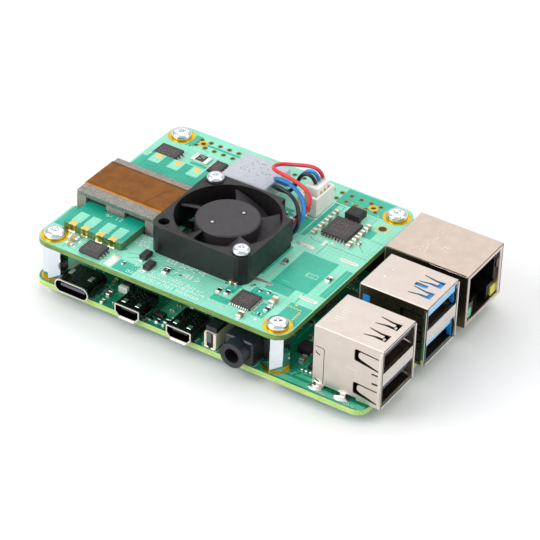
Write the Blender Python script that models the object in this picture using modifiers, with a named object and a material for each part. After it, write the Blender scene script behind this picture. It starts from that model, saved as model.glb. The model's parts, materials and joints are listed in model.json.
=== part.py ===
"""Single board computer with a fan-cooled power board stacked on top of it.

Run with: blender --background --python part.py

Places are in millimetres from the lower board's front left corner, on its top face:
+X runs towards the socket end, +Y towards the pin header edge, +Z up. An empty at that corner
carries every piece, so the model's own origin is the middle of its footprint, where it stands.
"""

import math

import bmesh
import bpy
from mathutils import Matrix, Vector

# Driving dimensions, in millimetres ---------------------------------------------------------
BOARD_LENGTH, BOARD_WIDTH, BOARD_THICKNESS, BOARD_CORNER = 85.0, 56.0, 1.4, 3.0
TOP_LENGTH, TOP_WIDTH, TOP_THICKNESS, TOP_CORNER = 65.0, 56.5, 1.3, 3.5
TOP_FACE = 10.6                       # the upper board's top face
HOLES = {"front_left": (3.5, 3.5), "front_right": (61.5, 3.5),
         "back_left": (3.5, 52.5), "back_right": (61.5, 52.5)}
HOLE_RADIUS = 1.35
SOCKET_FRONT = 87.7                   # where the rear sockets end
JACK_FRONT = -2.5                     # where the audio barrel ends
FOOT_LEVEL = -3.3                     # underside of the lower screws' heads
GAP = 0.05                            # between neighbours that touch on the real object

STANDOFF_FLATS, STANDOFF_BORE = 4.9, 1.3
SCREW_HEAD, SCREW_HEAD_HEIGHT, SCREW_SHANK, SCREW_LENGTH = 2.4, 1.5, 1.2, 6.0
FAN_SCREW_HEAD, FAN_SCREW_HEAD_HEIGHT, FAN_SCREW_SHANK = 2.0, 1.4, 1.0

FAN_CENTRE, FAN_SIZE, FAN_HEIGHT, FAN_CORNER = (35.9, 23.0), 25.0, 7.0, 2.8
FAN_BORE, FAN_HOLE_PITCH, FAN_HOLE, HUB_RADIUS, BLADE_TIP = 11.9, 20.0, 1.3, 7.3, 11.4
FAN_RING, LEAD_CORNER = 12.75, 6.8    # the wall round the bore, and where the leads' corner is cut away
BLADES, BLADE_SPAN, BLADE_SWEEP = 5, math.radians(46), math.radians(7)
FAN_OPENING = 10.8                    # the hole in the upper board under the fan

USB_WIDTH, USB_TOP, USB_REAR = 13.1, 15.7, 71.0
USB_PORTS = ((1.0, 6.4), (9.6, 15.0))
NETWORK_CENTRE, NETWORK_WIDTH, NETWORK_TOP, NETWORK_REAR = 45.75, 16.0, 13.6, 67.05
SHEET = 0.35                          # wall of a stamped shell

HEADER_START, HEADER_ROWS, PITCH, PIN = 8.37, (51.23, 53.77), 2.54, 0.64
PIN_TOP, HEADER_HEIGHT = 8.5, 2.54
POWER_CENTRE = (61.3, 46.6)           # the small 2 by 2 header

CORE_X, CORE_Y, CORE_TOP = (0.7, 21.6), (15.4, 31.1), TOP_FACE + 4.45
CORE_BACK, CORE_LEG, CORE_POST, CORE_WINDOW = 2.5, 2.5, 5.0, 3.2
WINDING_X, WINDING_Y, WINDING_THICKNESS = (3.45, 18.95), (6.7, 41.1), 1.8
TAPE_Y, TAPE = (18.7, 29.0), 0.12
NOTCH_X, NOTCH_Y = 22.6, (14.9, 31.7)

LEAD_RADIUS, LEAD_SPACING = 0.45, 2.1
PLUG_TOP = 17.0
LEAD_END = PLUG_TOP + 0.3              # where each lead meets the plug

FAN_FLOOR = TOP_FACE + GAP
ORIGIN = (SOCKET_FRONT / 2, (JACK_FRONT + TOP_WIDTH) / 2, FOOT_LEVEL)

# Routes of the fan leads, from the fan's base out of its channel, over the choke to the plug.
LEAD_ROUTES = {
    "lead_red": ((40.3, 29.3, 11.25), (43.3, 32.3, 11.25), (44.5, 34.2, 11.4), (45.3, 36.2, 12.4),
                 (46.3, 37.9, 14.0), (46.8, 39.2, 15.7), (46.2, 40.1, 17.2), (44.5, 40.6, 18.2),
                 (42.4, 41.1, 18.6), (40.0, 41.7, 18.6), (38.0, 42.2, 18.5), (36.2, 42.7, 18.3),
                 (34.4, 43.4, 18.1), (33.7, 45.1, 17.8), (34.4, 46.8, 17.6), (36.2, 47.6, 17.7),
                 (38.4, 47.85, 18.2), (40.4, 47.85, 18.8), (42.0, 47.8, 19.15), (43.4, 47.8, 19.0),
                 (44.4, 47.8, 18.4), (44.7, 47.8, LEAD_END)),
    "lead_black": ((41.9, 28.1, 11.25), (44.9, 31.1, 11.25), (46.4, 32.2, 11.4), (47.3, 33.2, 12.6),
                   (46.95, 34.4, 14.0), (45.9, 35.9, 14.9), (44.6, 37.4, 15.5), (42.6, 39.0, 15.8),
                   (40.4, 39.9, 16.1), (37.9, 40.3, 16.2), (36.05, 40.8, 15.7), (35.4, 42.0, 14.6),
                   (36.05, 43.2, 13.4), (37.75, 43.8, 12.9), (39.1, 44.3, 13.9), (39.9, 44.6, 15.6),
                   (40.5, 44.75, 17.4), (41.3, 44.8, 18.55), (42.7, 44.8, 19.15), (44.1, 44.8, 18.65),
                   (44.7, 44.8, LEAD_END)),
    "lead_blue": ((41.1, 28.7, 11.25), (44.1, 31.7, 11.25), (45.5, 33.1, 11.5), (46.6, 34.7, 12.7),
                  (47.0, 36.2, 14.1), (46.4, 37.4, 15.4), (45.2, 38.8, 16.2), (43.6, 40.0, 16.7),
                  (41.4, 41.1, 17.0), (39.0, 41.8, 17.2), (37.2, 41.9, 17.1), (35.55, 42.4, 16.6),
                  (34.95, 43.6, 15.4), (35.65, 44.8, 14.2), (37.2, 45.4, 13.7), (38.7, 45.8, 14.4),
                  (39.8, 46.1, 16.1), (40.5, 46.25, 17.5), (41.3, 46.3, 18.55), (42.7, 46.3, 19.15),
                  (44.1, 46.3, 18.65), (44.7, 46.3, LEAD_END)),
}

# Colours: base colour, roughness, metallic --------------------------------------------------
LOOKS = {
    "board_green": ((0.010, 0.210, 0.130), 0.35, 0.0),
    "mask_green": ((0.130, 0.560, 0.390), 0.35, 0.0),
    "nickel": ((0.680, 0.630, 0.580), 0.35, 1.0),
    "zinc": ((0.800, 0.810, 0.840), 0.22, 1.0),
    "black_plastic": ((0.020, 0.020, 0.022), 0.50, 0.0),
    "grey_plastic": ((0.110, 0.110, 0.130), 0.45, 0.0),
    "cream_plastic": ((0.760, 0.700, 0.560), 0.50, 0.0),
    "white_plastic": ((0.860, 0.840, 0.760), 0.45, 0.0),
    "blue_plastic": ((0.020, 0.310, 0.760), 0.40, 0.0),
    "package_black": ((0.035, 0.032, 0.034), 0.60, 0.0),
    "ferrite": ((0.330, 0.310, 0.290), 0.65, 0.0),
    "choke_grey": ((0.430, 0.440, 0.470), 0.60, 0.0),
    "amber_tape": ((0.360, 0.160, 0.030), 0.35, 0.0),
    "brass": ((0.750, 0.560, 0.260), 0.30, 1.0),
    "copper": ((0.700, 0.330, 0.180), 0.40, 1.0),
    "red_sleeve": ((0.780, 0.040, 0.050), 0.40, 0.0),
    "blue_sleeve": ((0.020, 0.220, 0.680), 0.40, 0.0),
    "black_sleeve": ((0.012, 0.012, 0.014), 0.40, 0.0),
}


# Scene and small helpers --------------------------------------------------------------------
for item in list(bpy.data.objects):
    bpy.data.objects.remove(item, do_unlink=True)


def collection(name):
    group = bpy.data.collections.new(name)
    bpy.context.scene.collection.children.link(group)
    return group


PARTS = collection("single_board_computer")
TOOLS = collection("cutters")


def metres(place):
    return Vector(place) / 1000.0


CORNER = bpy.data.objects.new("board_corner", None)
CORNER.location = -metres(ORIGIN)
PARTS.objects.link(CORNER)
MATERIALS = {}


def look(name):
    if name not in MATERIALS:
        colour, roughness, metallic = LOOKS[name]
        material = bpy.data.materials.new(name)
        material.use_nodes = True
        shader = material.node_tree.nodes["Principled BSDF"]
        shader.inputs["Base Color"].default_value = (*colour, 1.0)
        shader.inputs["Roughness"].default_value = roughness
        shader.inputs["Metallic"].default_value = metallic
        material.diffuse_color = (*colour, 1.0)
        MATERIALS[name] = material
    return MATERIALS[name]


def add(name, data, material, place=(0, 0, 0), turn=(0, 0, 0)):
    """One object carried by the corner empty; with no material it is a cutter."""
    item = bpy.data.objects.new(name, data)
    item.parent = CORNER
    item.location = metres(place)
    item.rotation_euler = turn
    if material:
        data.materials.append(look(material))
        PARTS.objects.link(item)
    else:
        item.hide_render = True
        item.display_type = 'WIRE'
        TOOLS.objects.link(item)
    return item


def box(name, low, high, material=None, bevel=0.0):
    return boxes(name, [(low, high)], material, bevel)


def boxes(name, spans, material=None, bevel=0.0):
    """Boxes between pairs of corners, in one mesh around the first box's middle."""
    middle = (Vector(spans[0][0]) + Vector(spans[0][1])) / 2
    shape = bmesh.new()
    for low, high in spans:
        centre = (Vector(low) + Vector(high)) / 2 - middle
        size = Vector(high) - Vector(low)
        grow = Matrix.Diagonal((*metres(size), 1.0))
        bmesh.ops.create_cube(shape, size=1.0, matrix=Matrix.Translation(metres(centre)) @ grow)
    mesh = bpy.data.meshes.new(name)
    shape.to_mesh(mesh)
    shape.free()
    item = add(name, mesh, material, middle)
    if bevel:
        round_edges(item, bevel)
    return item


def round_edges(item, width):
    bevel = item.modifiers.new("edges", 'BEVEL')
    bevel.width = width / 1000.0
    bevel.segments = 1
    bevel.limit_method = 'ANGLE'


def rod(name, start, direction, length, radius, material=None, sides=20):
    """A cylinder from start along a direction."""
    shape = bmesh.new()
    lift = Matrix.Translation((0, 0, length / 2000.0))
    bmesh.ops.create_cone(shape, cap_ends=True, segments=sides, radius1=radius / 1000.0,
                          radius2=radius / 1000.0, depth=length / 1000.0, matrix=lift)
    mesh = bpy.data.meshes.new(name)
    shape.to_mesh(mesh)
    shape.free()
    turn = Vector(direction).to_track_quat('Z', 'Y').to_euler()
    return add(name, mesh, material, start, turn)


def turned(name, profile, place, material=None, steps=16, turn=(0, 0, 0)):
    """A profile of (radius, height), top to bottom down its outer side, spun about Z."""
    mesh = bpy.data.meshes.new(name)
    points = [metres((radius, 0, height)) for radius, height in profile]
    mesh.from_pydata(points, [(i, i + 1) for i in range(len(points) - 1)], [])
    item = add(name, mesh, material, place, turn)
    screw = item.modifiers.new("turn", 'SCREW')
    screw.steps = screw.render_steps = steps
    screw.use_merge_vertices = True
    screw.merge_threshold = 0.00001
    return item


def plate(name, loops, centre, thickness, material, turn=(0, 0, 0)):
    """A flat outline with holes: the first loop is the outside, the others are openings."""
    curve = bpy.data.curves.new(name, 'CURVE')
    curve.dimensions = '2D'
    curve.fill_mode = 'BOTH'
    curve.extrude = thickness / 2000.0
    for loop in loops:
        spline = curve.splines.new('POLY')
        spline.points.add(len(loop) - 1)
        for point, (x, y) in zip(spline.points, loop):
            point.co = (x / 1000.0, y / 1000.0, 0.0, 1.0)
        spline.use_cyclic_u = True
    return add(name, curve, material, centre, turn)


def as_mesh(item):
    """The same piece as a welded mesh, so that it can be cut or joined."""
    bpy.context.view_layer.update()
    graph = bpy.context.evaluated_depsgraph_get()
    mesh = bpy.data.meshes.new_from_object(item.evaluated_get(graph))
    shape = bmesh.new()
    shape.from_mesh(mesh)
    bmesh.ops.remove_doubles(shape, verts=shape.verts, dist=0.000001)
    shape.to_mesh(mesh)
    shape.free()
    name, group = item.name, item.users_collection[0]
    solid = bpy.data.objects.new(name, mesh)
    solid.parent = CORNER
    solid.matrix_world = item.matrix_world.copy()
    group.objects.link(solid)
    bpy.data.objects.remove(item, do_unlink=True)
    solid.name = name
    return solid


def combine(item, tool, operation):
    step = item.modifiers.new(tool.name, 'BOOLEAN')
    step.operation = operation
    step.object = tool
    step.solver = 'EXACT'


def cut(item, tool):
    combine(item, tool, 'DIFFERENCE')


def join(item, tool):
    combine(item, tool, 'UNION')


def circle(x, y, radius, sides=16, phase=0.0):
    angles = [phase + math.tau * i / sides for i in range(sides)]
    return [(x + radius * math.cos(a), y + radius * math.sin(a)) for a in angles]


def rounded(corners, steps=4):
    """An outline through (x, y, radius) corners, each one an arc of its own radius."""
    outline = []
    for i, (x, y, radius) in enumerate(corners):
        corner = Vector((x, y))
        if not radius:
            outline.append((x, y))
            continue
        before = (Vector(corners[i - 1][:2]) - corner).normalized()
        after = (Vector(corners[(i + 1) % len(corners)][:2]) - corner).normalized()
        half = before.angle(after) / 2
        middle = corner + (before + after).normalized() * radius / math.sin(half)
        first = corner + before * radius / math.tan(half) - middle
        last = corner + after * radius / math.tan(half) - middle
        sweep = first.angle_signed(last)
        for step in range(steps + 1):
            turn = Matrix.Rotation(-sweep * step / steps, 2)
            outline.append(tuple(middle + turn @ first))
    return outline


def rectangle(x0, y0, x1, y1, radius=0.0, steps=4):
    return rounded([(x0, y0, radius), (x1, y0, radius), (x1, y1, radius), (x0, y1, radius)], steps)


FACING_FRONT = (math.pi / 2, 0, 0)    # an outline's own Y becomes up, and its front faces -Y


# The lower board and what is soldered to it -------------------------------------------------
def lower_board():
    holes = [circle(x, y, HOLE_RADIUS) for x, y in HOLES.values()]
    outline = rectangle(0, 0, BOARD_LENGTH, BOARD_WIDTH, BOARD_CORNER, 5)
    plate("main_board", [outline, *holes], (0, 0, -BOARD_THICKNESS / 2), BOARD_THICKNESS, "board_green")


def lower_chips():
    """Name, middle, length along X, width along Y, height, look and edge of each package."""
    packages = (
        ("processor", (29.25, 32.5), 15.0, 15.0, 2.4, "nickel", 0.4),
        ("memory_chip", (43.0, 32.5), 10.0, 15.0, 1.0, "package_black", 0.1),
        ("wireless_shield", (12.0, 44.0), 12.0, 10.0, 1.5, "nickel", 0.3),
        ("usb_controller", (56.0, 27.0), 8.0, 8.0, 0.9, "package_black", 0.1),
    )
    for name, (x, y), length, width, height, material, edge in packages:
        low = (x - length / 2, y - width / 2, GAP)
        box(name, low, (x + length / 2, y + width / 2, height), material, edge)


def usb_c_socket(x=11.2, width=8.94, height=3.26, front=-1.3, depth=7.3):
    middle = (x, front + depth / 2, GAP + height / 2)
    outer = rectangle(-width / 2, -height / 2, width / 2, height / 2, height / 2 - 0.01, 6)
    inner_half, inner_side = width / 2 - 0.3, height / 2 - 0.3
    inner = rectangle(-inner_half, -inner_side, inner_half, inner_side, inner_side - 0.01, 6)
    plate("usb_c_shell", [outer, inner], middle, depth, "nickel", FACING_FRONT)
    reach = inner_half - 1.0
    back = box("usb_c_tongue", (x - reach, 3.6, middle[2] - inner_side + GAP),
               (x + reach, 5.9, middle[2] + inner_side - GAP), "black_plastic")
    tongue = box("usb_c_blade", (x - 3.3, -0.7, middle[2] - 0.35), (x + 3.3, 4.5, middle[2] + 0.35))
    join(back, tongue)


def video_socket(side, x, half=3.25, height=3.1, front=-1.2, depth=7.6):
    """A micro video socket: a shell whose lower corners slope in, and the tongue inside it."""
    middle = (x, front + depth / 2, GAP + height / 2)
    top, slope, wall = height / 2, 0.9, 0.3
    outer = rounded([(-half + slope, -top, 0.2), (half - slope, -top, 0.2), (half, -top + 1.1, 0.2),
                     (half, top, 0.4), (-half, top, 0.4), (-half, -top + 1.1, 0.2)], 3)
    shrink_x, shrink_z = (half - wall) / half, (top - wall) / top
    inner = [(u * shrink_x, v * shrink_z) for u, v in outer]
    plate(f"video_shell_{side}", [outer, inner], middle, depth, "nickel", FACING_FRONT)
    base = box(f"video_tongue_{side}", (x - 2.0, 3.2, middle[2] - 1.1), (x + 2.0, 6.2, middle[2] + 1.1),
               "black_plastic")
    join(base, box(f"video_blade_{side}", (x - 1.9, -0.6, middle[2] + 0.1), (x + 1.9, 4.0, middle[2] + 0.7)))


def audio_socket(x=54.0, radius=3.0, bore=1.75):
    body = box("audio_jack", (x - 3.5, 0.1, GAP), (x + 3.5, 12.2, 5.9), "black_plastic", 0.3)
    join(body, rod("audio_barrel", (x, 1.0, radius + GAP), (0, -1, 0), 1.0 - JACK_FRONT, radius, sides=24))
    cut(body, rod("audio_bore", (x, JACK_FRONT - 1, radius + GAP), (0, 1, 0), 13.0, bore, sides=16))


def ribbon_socket(kind, x, y0, y1, half=1.4, height=4.0, top=5.3):
    """An upright ribbon connector: a body with a long slot, and the latch that slides up out of it."""
    body = box(f"{kind}_connector", (x - half, y0, GAP), (x + half, y1, height), "cream_plastic")
    cut(body, box(f"{kind}_slot", (x - 0.6, y0 + 1.6, 1.2), (x + 0.6, y1 - 1.6, height + 1)))
    latch = box(f"{kind}_latch", (x - half, y0 + 0.4, height + GAP), (x + half, y1 - 0.4, top),
                "black_plastic")
    join(latch, box(f"{kind}_tab", (x - 0.45, y0 + 1.9, 2.2), (x - 0.05, y1 - 1.9, top - 0.4)))


def usb_stack(name, y, plastic):
    """Two sockets, one over the other: a folded shell and the insert that carries the contacts."""
    half, inner = USB_WIDTH / 2, USB_WIDTH / 2 - SHEET
    shell = box(f"{name}_shell", (USB_REAR, y - half, GAP), (SOCKET_FRONT, y + half, USB_TOP), "nickel")
    front = SOCKET_FRONT - 0.8
    spans = [((USB_REAR + SHEET, y - inner, SHEET + GAP), (front, y + inner, USB_TOP - SHEET))]
    spans += [((front - 1, y - inner + 0.1, low), (SOCKET_FRONT + 1, y + inner - 0.1, high))
              for low, high in USB_PORTS]
    for number, span in enumerate(spans):
        cut(shell, box(f"{name}_space_{number}", *span))
    back = box(f"{name}_insert", (USB_REAR + SHEET + GAP, y - inner + GAP, SHEET + 2 * GAP),
               (77.0, y + inner - GAP, USB_TOP - SHEET - GAP), plastic)
    for number, (low, high) in enumerate(USB_PORTS):
        tongue = ((76.0, y - 5.4, low + 3.2), (front - 0.4, y + 5.4, low + 5.0))
        join(back, box(f"{name}_tongue_{number}", *tongue))


def network_socket():
    half, y = NETWORK_WIDTH / 2, NETWORK_CENTRE
    shell = box("network_shell", (NETWORK_REAR, y - half, GAP), (SOCKET_FRONT, y + half, NETWORK_TOP),
                "nickel")
    front, inner = SOCKET_FRONT - 0.4, half - SHEET
    cut(shell, box("network_space", (NETWORK_REAR + SHEET, y - inner, SHEET + GAP),
                   (front, y + inner, NETWORK_TOP - SHEET)))
    cut(shell, box("network_window", (front - 1, y - 6.9, 0.9), (SOCKET_FRONT + 1, y + 6.9, 12.5)))
    block = box("network_insert", (NETWORK_REAR + SHEET + GAP, y - inner + GAP, SHEET + 2 * GAP),
                (front - 0.3, y + inner - GAP, NETWORK_TOP - SHEET - GAP), "black_plastic")
    cut(block, box("network_cavity", (73.0, y - 5.95, 4.4), (SOCKET_FRONT + 1, y + 5.95, 12.3)))
    cut(block, box("network_notch", (75.0, y - 3.1, 2.0), (SOCKET_FRONT + 1, y + 3.1, 4.6)))


def pin_places(start, rows, columns):
    return [(start + PITCH * i, y) for i in range(columns) for y in rows]


def pin_block(name, places, base_material="black_plastic"):
    """A header: its plastic base with square pins standing in it."""
    low_x, high_x = min(x for x, y in places), max(x for x, y in places)
    low_y, high_y = min(y for x, y in places), max(y for x, y in places)
    half = PITCH / 2
    base = box(name, (low_x - half, low_y - half, GAP), (high_x + half, high_y + half, HEADER_HEIGHT),
               base_material)
    pins = [((x - PIN / 2, y - PIN / 2, 0.6), (x + PIN / 2, y + PIN / 2, PIN_TOP)) for x, y in places]
    join(base, boxes(f"{name}_pins", pins))


def socket_block(name, places, hole=0.92):
    """The upper board's socket: a block with a square hole over each pin."""
    low_x, high_x = min(x for x, y in places), max(x for x, y in places)
    low_y, high_y = min(y for x, y in places), max(y for x, y in places)
    half, top = PITCH / 2, TOP_FACE - TOP_THICKNESS - GAP
    block = box(name, (low_x - half, low_y - half, HEADER_HEIGHT + GAP), (high_x + half, high_y + half, top),
                "black_plastic")
    holes = [((x - hole / 2, y - hole / 2, HEADER_HEIGHT - 1), (x + hole / 2, y + hole / 2, PIN_TOP + 0.2))
             for x, y in places]
    cut(block, boxes(f"{name}_holes", holes))


def card_socket():
    under = -BOARD_THICKNESS - GAP
    shell = box("card_socket", (0.6, 21.8, under - 1.4), (13.4, 34.2, under), "nickel")
    cut(shell, box("card_slot", (-1.0, 22.4, under - 1.05), (12.6, 33.6, under - 0.25)))


# The stack of standoffs and screws ----------------------------------------------------------
def screw_profile(head, head_height, shank, length, rounding=0.3):
    """Radius and height of a pan head screw whose head sits on height 0."""
    return ((0, head_height), (head * 0.62, head_height), (head * 0.92, head_height * 0.72),
            (head, rounding), (head, 0), (shank, 0), (shank, 0.3 - length), (shank * 0.75, -length),
            (0, -length))


def fastenings():
    under = TOP_FACE - TOP_THICKNESS
    height = under - 2 * GAP
    profile = screw_profile(SCREW_HEAD, SCREW_HEAD_HEIGHT, SCREW_SHANK, SCREW_LENGTH)
    foot_height = -BOARD_THICKNESS - GAP - FOOT_LEVEL
    foot = screw_profile(SCREW_HEAD, foot_height, SCREW_SHANK, SCREW_LENGTH)
    across_corners = STANDOFF_FLATS / math.sqrt(3)
    for corner, (x, y) in HOLES.items():
        loops = [circle(0, 0, across_corners, 6, math.pi / 2), circle(0, 0, STANDOFF_BORE, 12)]
        plate(f"standoff_{corner}", loops, (x, y, under / 2), height, "zinc")
        turned(f"top_screw_{corner}", profile, (x, y, TOP_FACE + GAP), "zinc")
        turned(f"bottom_screw_{corner}", foot, (x, y, -BOARD_THICKNESS - GAP), "zinc",
               turn=(math.pi, 0, 0))


# The upper board ----------------------------------------------------------------------------
def upper_board():
    left, (low, high) = 0.8, NOTCH_Y
    outline = rounded([(0, 0, TOP_CORNER), (TOP_LENGTH, 0, TOP_CORNER), (TOP_LENGTH, TOP_WIDTH, TOP_CORNER),
                       (0, TOP_WIDTH, TOP_CORNER), (0, high, 0), (NOTCH_X, high, left), (NOTCH_X, low, left),
                       (0, low, 0)])
    holes = [circle(x, y, HOLE_RADIUS) for x, y in HOLES.values()]
    holes += [circle(x, y, 0.5, 8) for x, y in pin_places(HEADER_START, HEADER_ROWS, 20)]
    fan_x, fan_y = FAN_CENTRE
    reach = FAN_HOLE_PITCH / 2
    holes += [circle(fan_x + side * reach, fan_y - side * reach, FAN_SCREW_SHANK + 0.1, 12)
              for side in (-1, 1)]
    holes.append(circle(fan_x, fan_y, FAN_OPENING, 32))
    plate("top_board", [outline, *holes], (0, 0, TOP_FACE - TOP_THICKNESS / 2), TOP_THICKNESS, "mask_green")


def upper_chips():
    """Name, low corner, high corner and height above the upper board of each package."""
    packages = (
        ("converter_chip", (51.0, 37.2), (57.6, 44.4), 1.0, "package_black", 0.15),
        ("controller_chip", (48.9, 4.3), (53.9, 9.3), 0.9, "package_black", 0.15),
        ("switch_transistor", (2.6, 41.6), (8.4, 46.4), 1.1, "package_black", 0.15),
        ("power_inductor", (22.8, 39.7), (34.8, 50.5), 4.0, "choke_grey", 0.25),
    )
    for name, low, high, height, material, edge in packages:
        box(name, (*low, FAN_FLOOR), (*high, TOP_FACE + height), material, edge)


def transformer():
    (left, right), (near, far) = CORE_X, CORE_Y
    centre, middle = (left + right) / 2, (near + far) / 2
    roof, leg_end = CORE_TOP - CORE_BACK, CORE_TOP - CORE_BACK - CORE_WINDOW
    post = CORE_POST / 2
    section = [(left, CORE_TOP), (left, leg_end), (left + CORE_LEG, leg_end), (left + CORE_LEG, roof),
               (centre - post, roof), (centre - post, leg_end), (centre + post, leg_end),
               (centre + post, roof), (right - CORE_LEG, roof), (right - CORE_LEG, leg_end),
               (right, leg_end), (right, CORE_TOP)]
    plate("transformer_core", [section], (0, middle, 0), far - near, "ferrite", FACING_FRONT)
    base = leg_end - GAP - CORE_BACK
    box("transformer_plate", (left, near, base), (right, far, leg_end - GAP), "ferrite")
    slot = rectangle(centre - post - 0.2, near - 0.3, centre + post + 0.2, far + 0.3, 0.4, 3)
    winding = rectangle(WINDING_X[0], WINDING_Y[0], WINDING_X[1], WINDING_Y[1], 0.3, 2)
    plate("transformer_winding", [winding, slot], (0, 0, FAN_FLOOR + WINDING_THICKNESS / 2),
          WINDING_THICKNESS, "mask_green")
    inside = rectangle(left - GAP, base - GAP, right + GAP, CORE_TOP + GAP, 0.0)
    outside = rectangle(left - GAP - TAPE, base - GAP - TAPE, right + GAP + TAPE, CORE_TOP + GAP + TAPE,
                        0.15, 2)
    plate("transformer_tape", [outside, inside], (0, sum(TAPE_Y) / 2, 0), TAPE_Y[1] - TAPE_Y[0],
          "amber_tape", FACING_FRONT)


def fan_connector():
    top = 15.4
    header = box("fan_header", (41.9, 41.8, FAN_FLOOR), (46.9, 49.5, top), "white_plastic")
    cut(header, box("fan_header_well", (42.7, 42.6, 12.0), (46.3, 48.9, top + 1)))
    cut(header, box("fan_header_window", (43.4, 41.0, 12.0), (45.4, 43.0, top + 1)))
    box("fan_plug", (42.8, 43.5, 12.1), (46.2, 48.7, PLUG_TOP), "white_plastic", 0.2)


# The fan ------------------------------------------------------------------------------------
def fan_housing():
    """The frame, open at the leads' corner, with its holes and the struts that carry the bearing."""
    x, y = FAN_CENTRE
    half, reach = FAN_SIZE / 2, FAN_HOLE_PITCH / 2
    begin = math.asin(LEAD_CORNER / FAN_RING)
    arc = [begin + (math.pi / 2 - 2 * begin) * step / 6 for step in range(7)]
    notch = [(half, LEAD_CORNER, 0), *((FAN_RING * math.cos(a), FAN_RING * math.sin(a), 0) for a in arc),
             (LEAD_CORNER, half, 0)]
    square = rounded([(-half, -half, FAN_CORNER), (half, -half, FAN_CORNER), *notch,
                      (-half, half, FAN_CORNER)])
    holes = [circle(u * reach, v * reach, FAN_HOLE, 12) for u, v in ((-1, -1), (-1, 1), (1, -1))]
    frame = as_mesh(plate("fan_frame", [square, circle(0, 0, FAN_BORE, 48), *holes],
                          (x, y, FAN_FLOOR + FAN_HEIGHT / 2), FAN_HEIGHT, "black_plastic"))
    base = ((0, 0.8), (1.35, 0.8), (1.35, 4.6), (1.9, 4.6), (1.9, 0.85), (HUB_RADIUS, 0.85),
            (HUB_RADIUS, 0.05), (0, 0.05))
    spider = turned("fan_base", base, (x, y, FAN_FLOOR), None, 24)
    out = FAN_BORE + 0.3
    for number, (u, v) in enumerate(((out, 0.9), (0.9, out))):
        join(spider, box(f"fan_strut_{number}", (x - u, y - v, FAN_FLOOR + 0.1),
                         (x + u, y + v, FAN_FLOOR + 0.7)))
    join(frame, spider)
    cut(frame, box("lead_channel", (x + 6.2, y + 6.2, FAN_FLOOR - 0.5), (x + half, y + half,
                                                                        FAN_FLOOR + 1.35)))


def fan_inside():
    x, y = FAN_CENTRE
    ring = ((2.1, 4.8), (5.9, 4.8), (5.9, 1.0), (2.1, 1.0), (2.1, 4.8))
    turned("fan_stator", ring, (x, y, FAN_FLOOR), "copper", 20)
    sleeve = ((0.8, 4.5), (1.28, 4.5), (1.28, 0.9), (0.8, 0.9), (0.8, 4.5))
    turned("fan_bearing", sleeve, (x, y, FAN_FLOOR), "brass", 16)
    turned("fan_shaft", ((0, 5.5), (0.75, 5.5), (0.75, 0.9), (0, 0.9)), (x, y, FAN_FLOOR), "zinc", 16)


def blade_tool(steps=5, rows=3, root=HUB_RADIUS - 0.4, low=1.6, high=6.1, thickness=0.5):
    """Five curved blades that rise against the turn, from inside the hub's wall to their tips."""
    shape = bmesh.new()
    for blade in range(BLADES):
        leading = math.radians(36) + math.tau * blade / BLADES
        grid = bmesh.ops.create_grid(shape, x_segments=steps, y_segments=rows, size=0.5)
        for vert in grid["verts"]:
            along, across = vert.co.x + 0.5, vert.co.y + 0.5
            radius = root + (BLADE_TIP - root) * across
            angle = leading + BLADE_SWEEP * across - BLADE_SPAN * (1 - along)
            rise = low + (high - low) * (along ** 1.2)
            vert.co = metres((radius * math.cos(angle), radius * math.sin(angle), rise))
    mesh = bpy.data.meshes.new("fan_blades")
    shape.to_mesh(mesh)
    shape.free()
    blades = add("fan_blades", mesh, None, (*FAN_CENTRE, FAN_FLOOR))
    shell = blades.modifiers.new("thickness", 'SOLIDIFY')
    shell.thickness = thickness / 1000.0
    shell.offset = 0
    return blades


def fan_rotor():
    cup = ((0, 6.4), (HUB_RADIUS - 0.3, 6.4), (HUB_RADIUS, 6.1), (HUB_RADIUS, 1.3), (6.5, 1.3),
           (6.5, 5.6), (0, 5.6))
    rotor = turned("fan_rotor", cup, (*FAN_CENTRE, FAN_FLOOR), "grey_plastic", 40)
    join(rotor, blade_tool())


def fan_screws():
    x, y = FAN_CENTRE
    reach = FAN_HOLE_PITCH / 2
    length = FAN_HEIGHT + GAP + TOP_THICKNESS + 1.6
    profile = screw_profile(FAN_SCREW_HEAD, FAN_SCREW_HEAD_HEIGHT, FAN_SCREW_SHANK, length)
    for name, side in (("near", 1), ("far", -1)):
        place = (x + side * reach, y - side * reach, FAN_FLOOR + FAN_HEIGHT + GAP)
        turned(f"fan_screw_{name}", profile, place, "zinc")


# The leads ----------------------------------------------------------------------------------
def smooth_route(points):
    """Points at even steps on a smooth curve through the route's own points."""
    points = [Vector(p) for p in points]
    padded = [2 * points[0] - points[1], *points, 2 * points[-1] - points[-2]]
    dense = []
    for a, b, c, d in zip(padded, padded[1:], padded[2:], padded[3:]):
        for step in range(20):
            t = step / 20
            dense.append(0.5 * (2 * b + (c - a) * t + (2 * a - 5 * b + 4 * c - d) * t ** 2
                                + (3 * b - a - 3 * c + d) * t ** 3))
    dense.append(points[-1])
    route = even_steps(dense, 0.3)
    for _ in range(16):
        route[2:-2] = [a / 4 + b / 2 + c / 4 for a, b, c in zip(route[1:-3], route[2:-2], route[3:-1])]
    return even_steps(route, LEAD_SPACING)


def even_steps(dense, spacing):
    """Points at even steps along a chain of points."""
    lengths = [0.0]
    for before, after in zip(dense, dense[1:]):
        lengths.append(lengths[-1] + (after - before).length)
    count = round(lengths[-1] / spacing)
    route, place = [], 0
    for step in range(count + 1):
        target = lengths[-1] * step / count
        while place < len(lengths) - 2 and lengths[place + 1] < target:
            place += 1
        share = (target - lengths[place]) / (lengths[place + 1] - lengths[place])
        route.append(dense[place].lerp(dense[place + 1], share))
    return route


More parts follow.
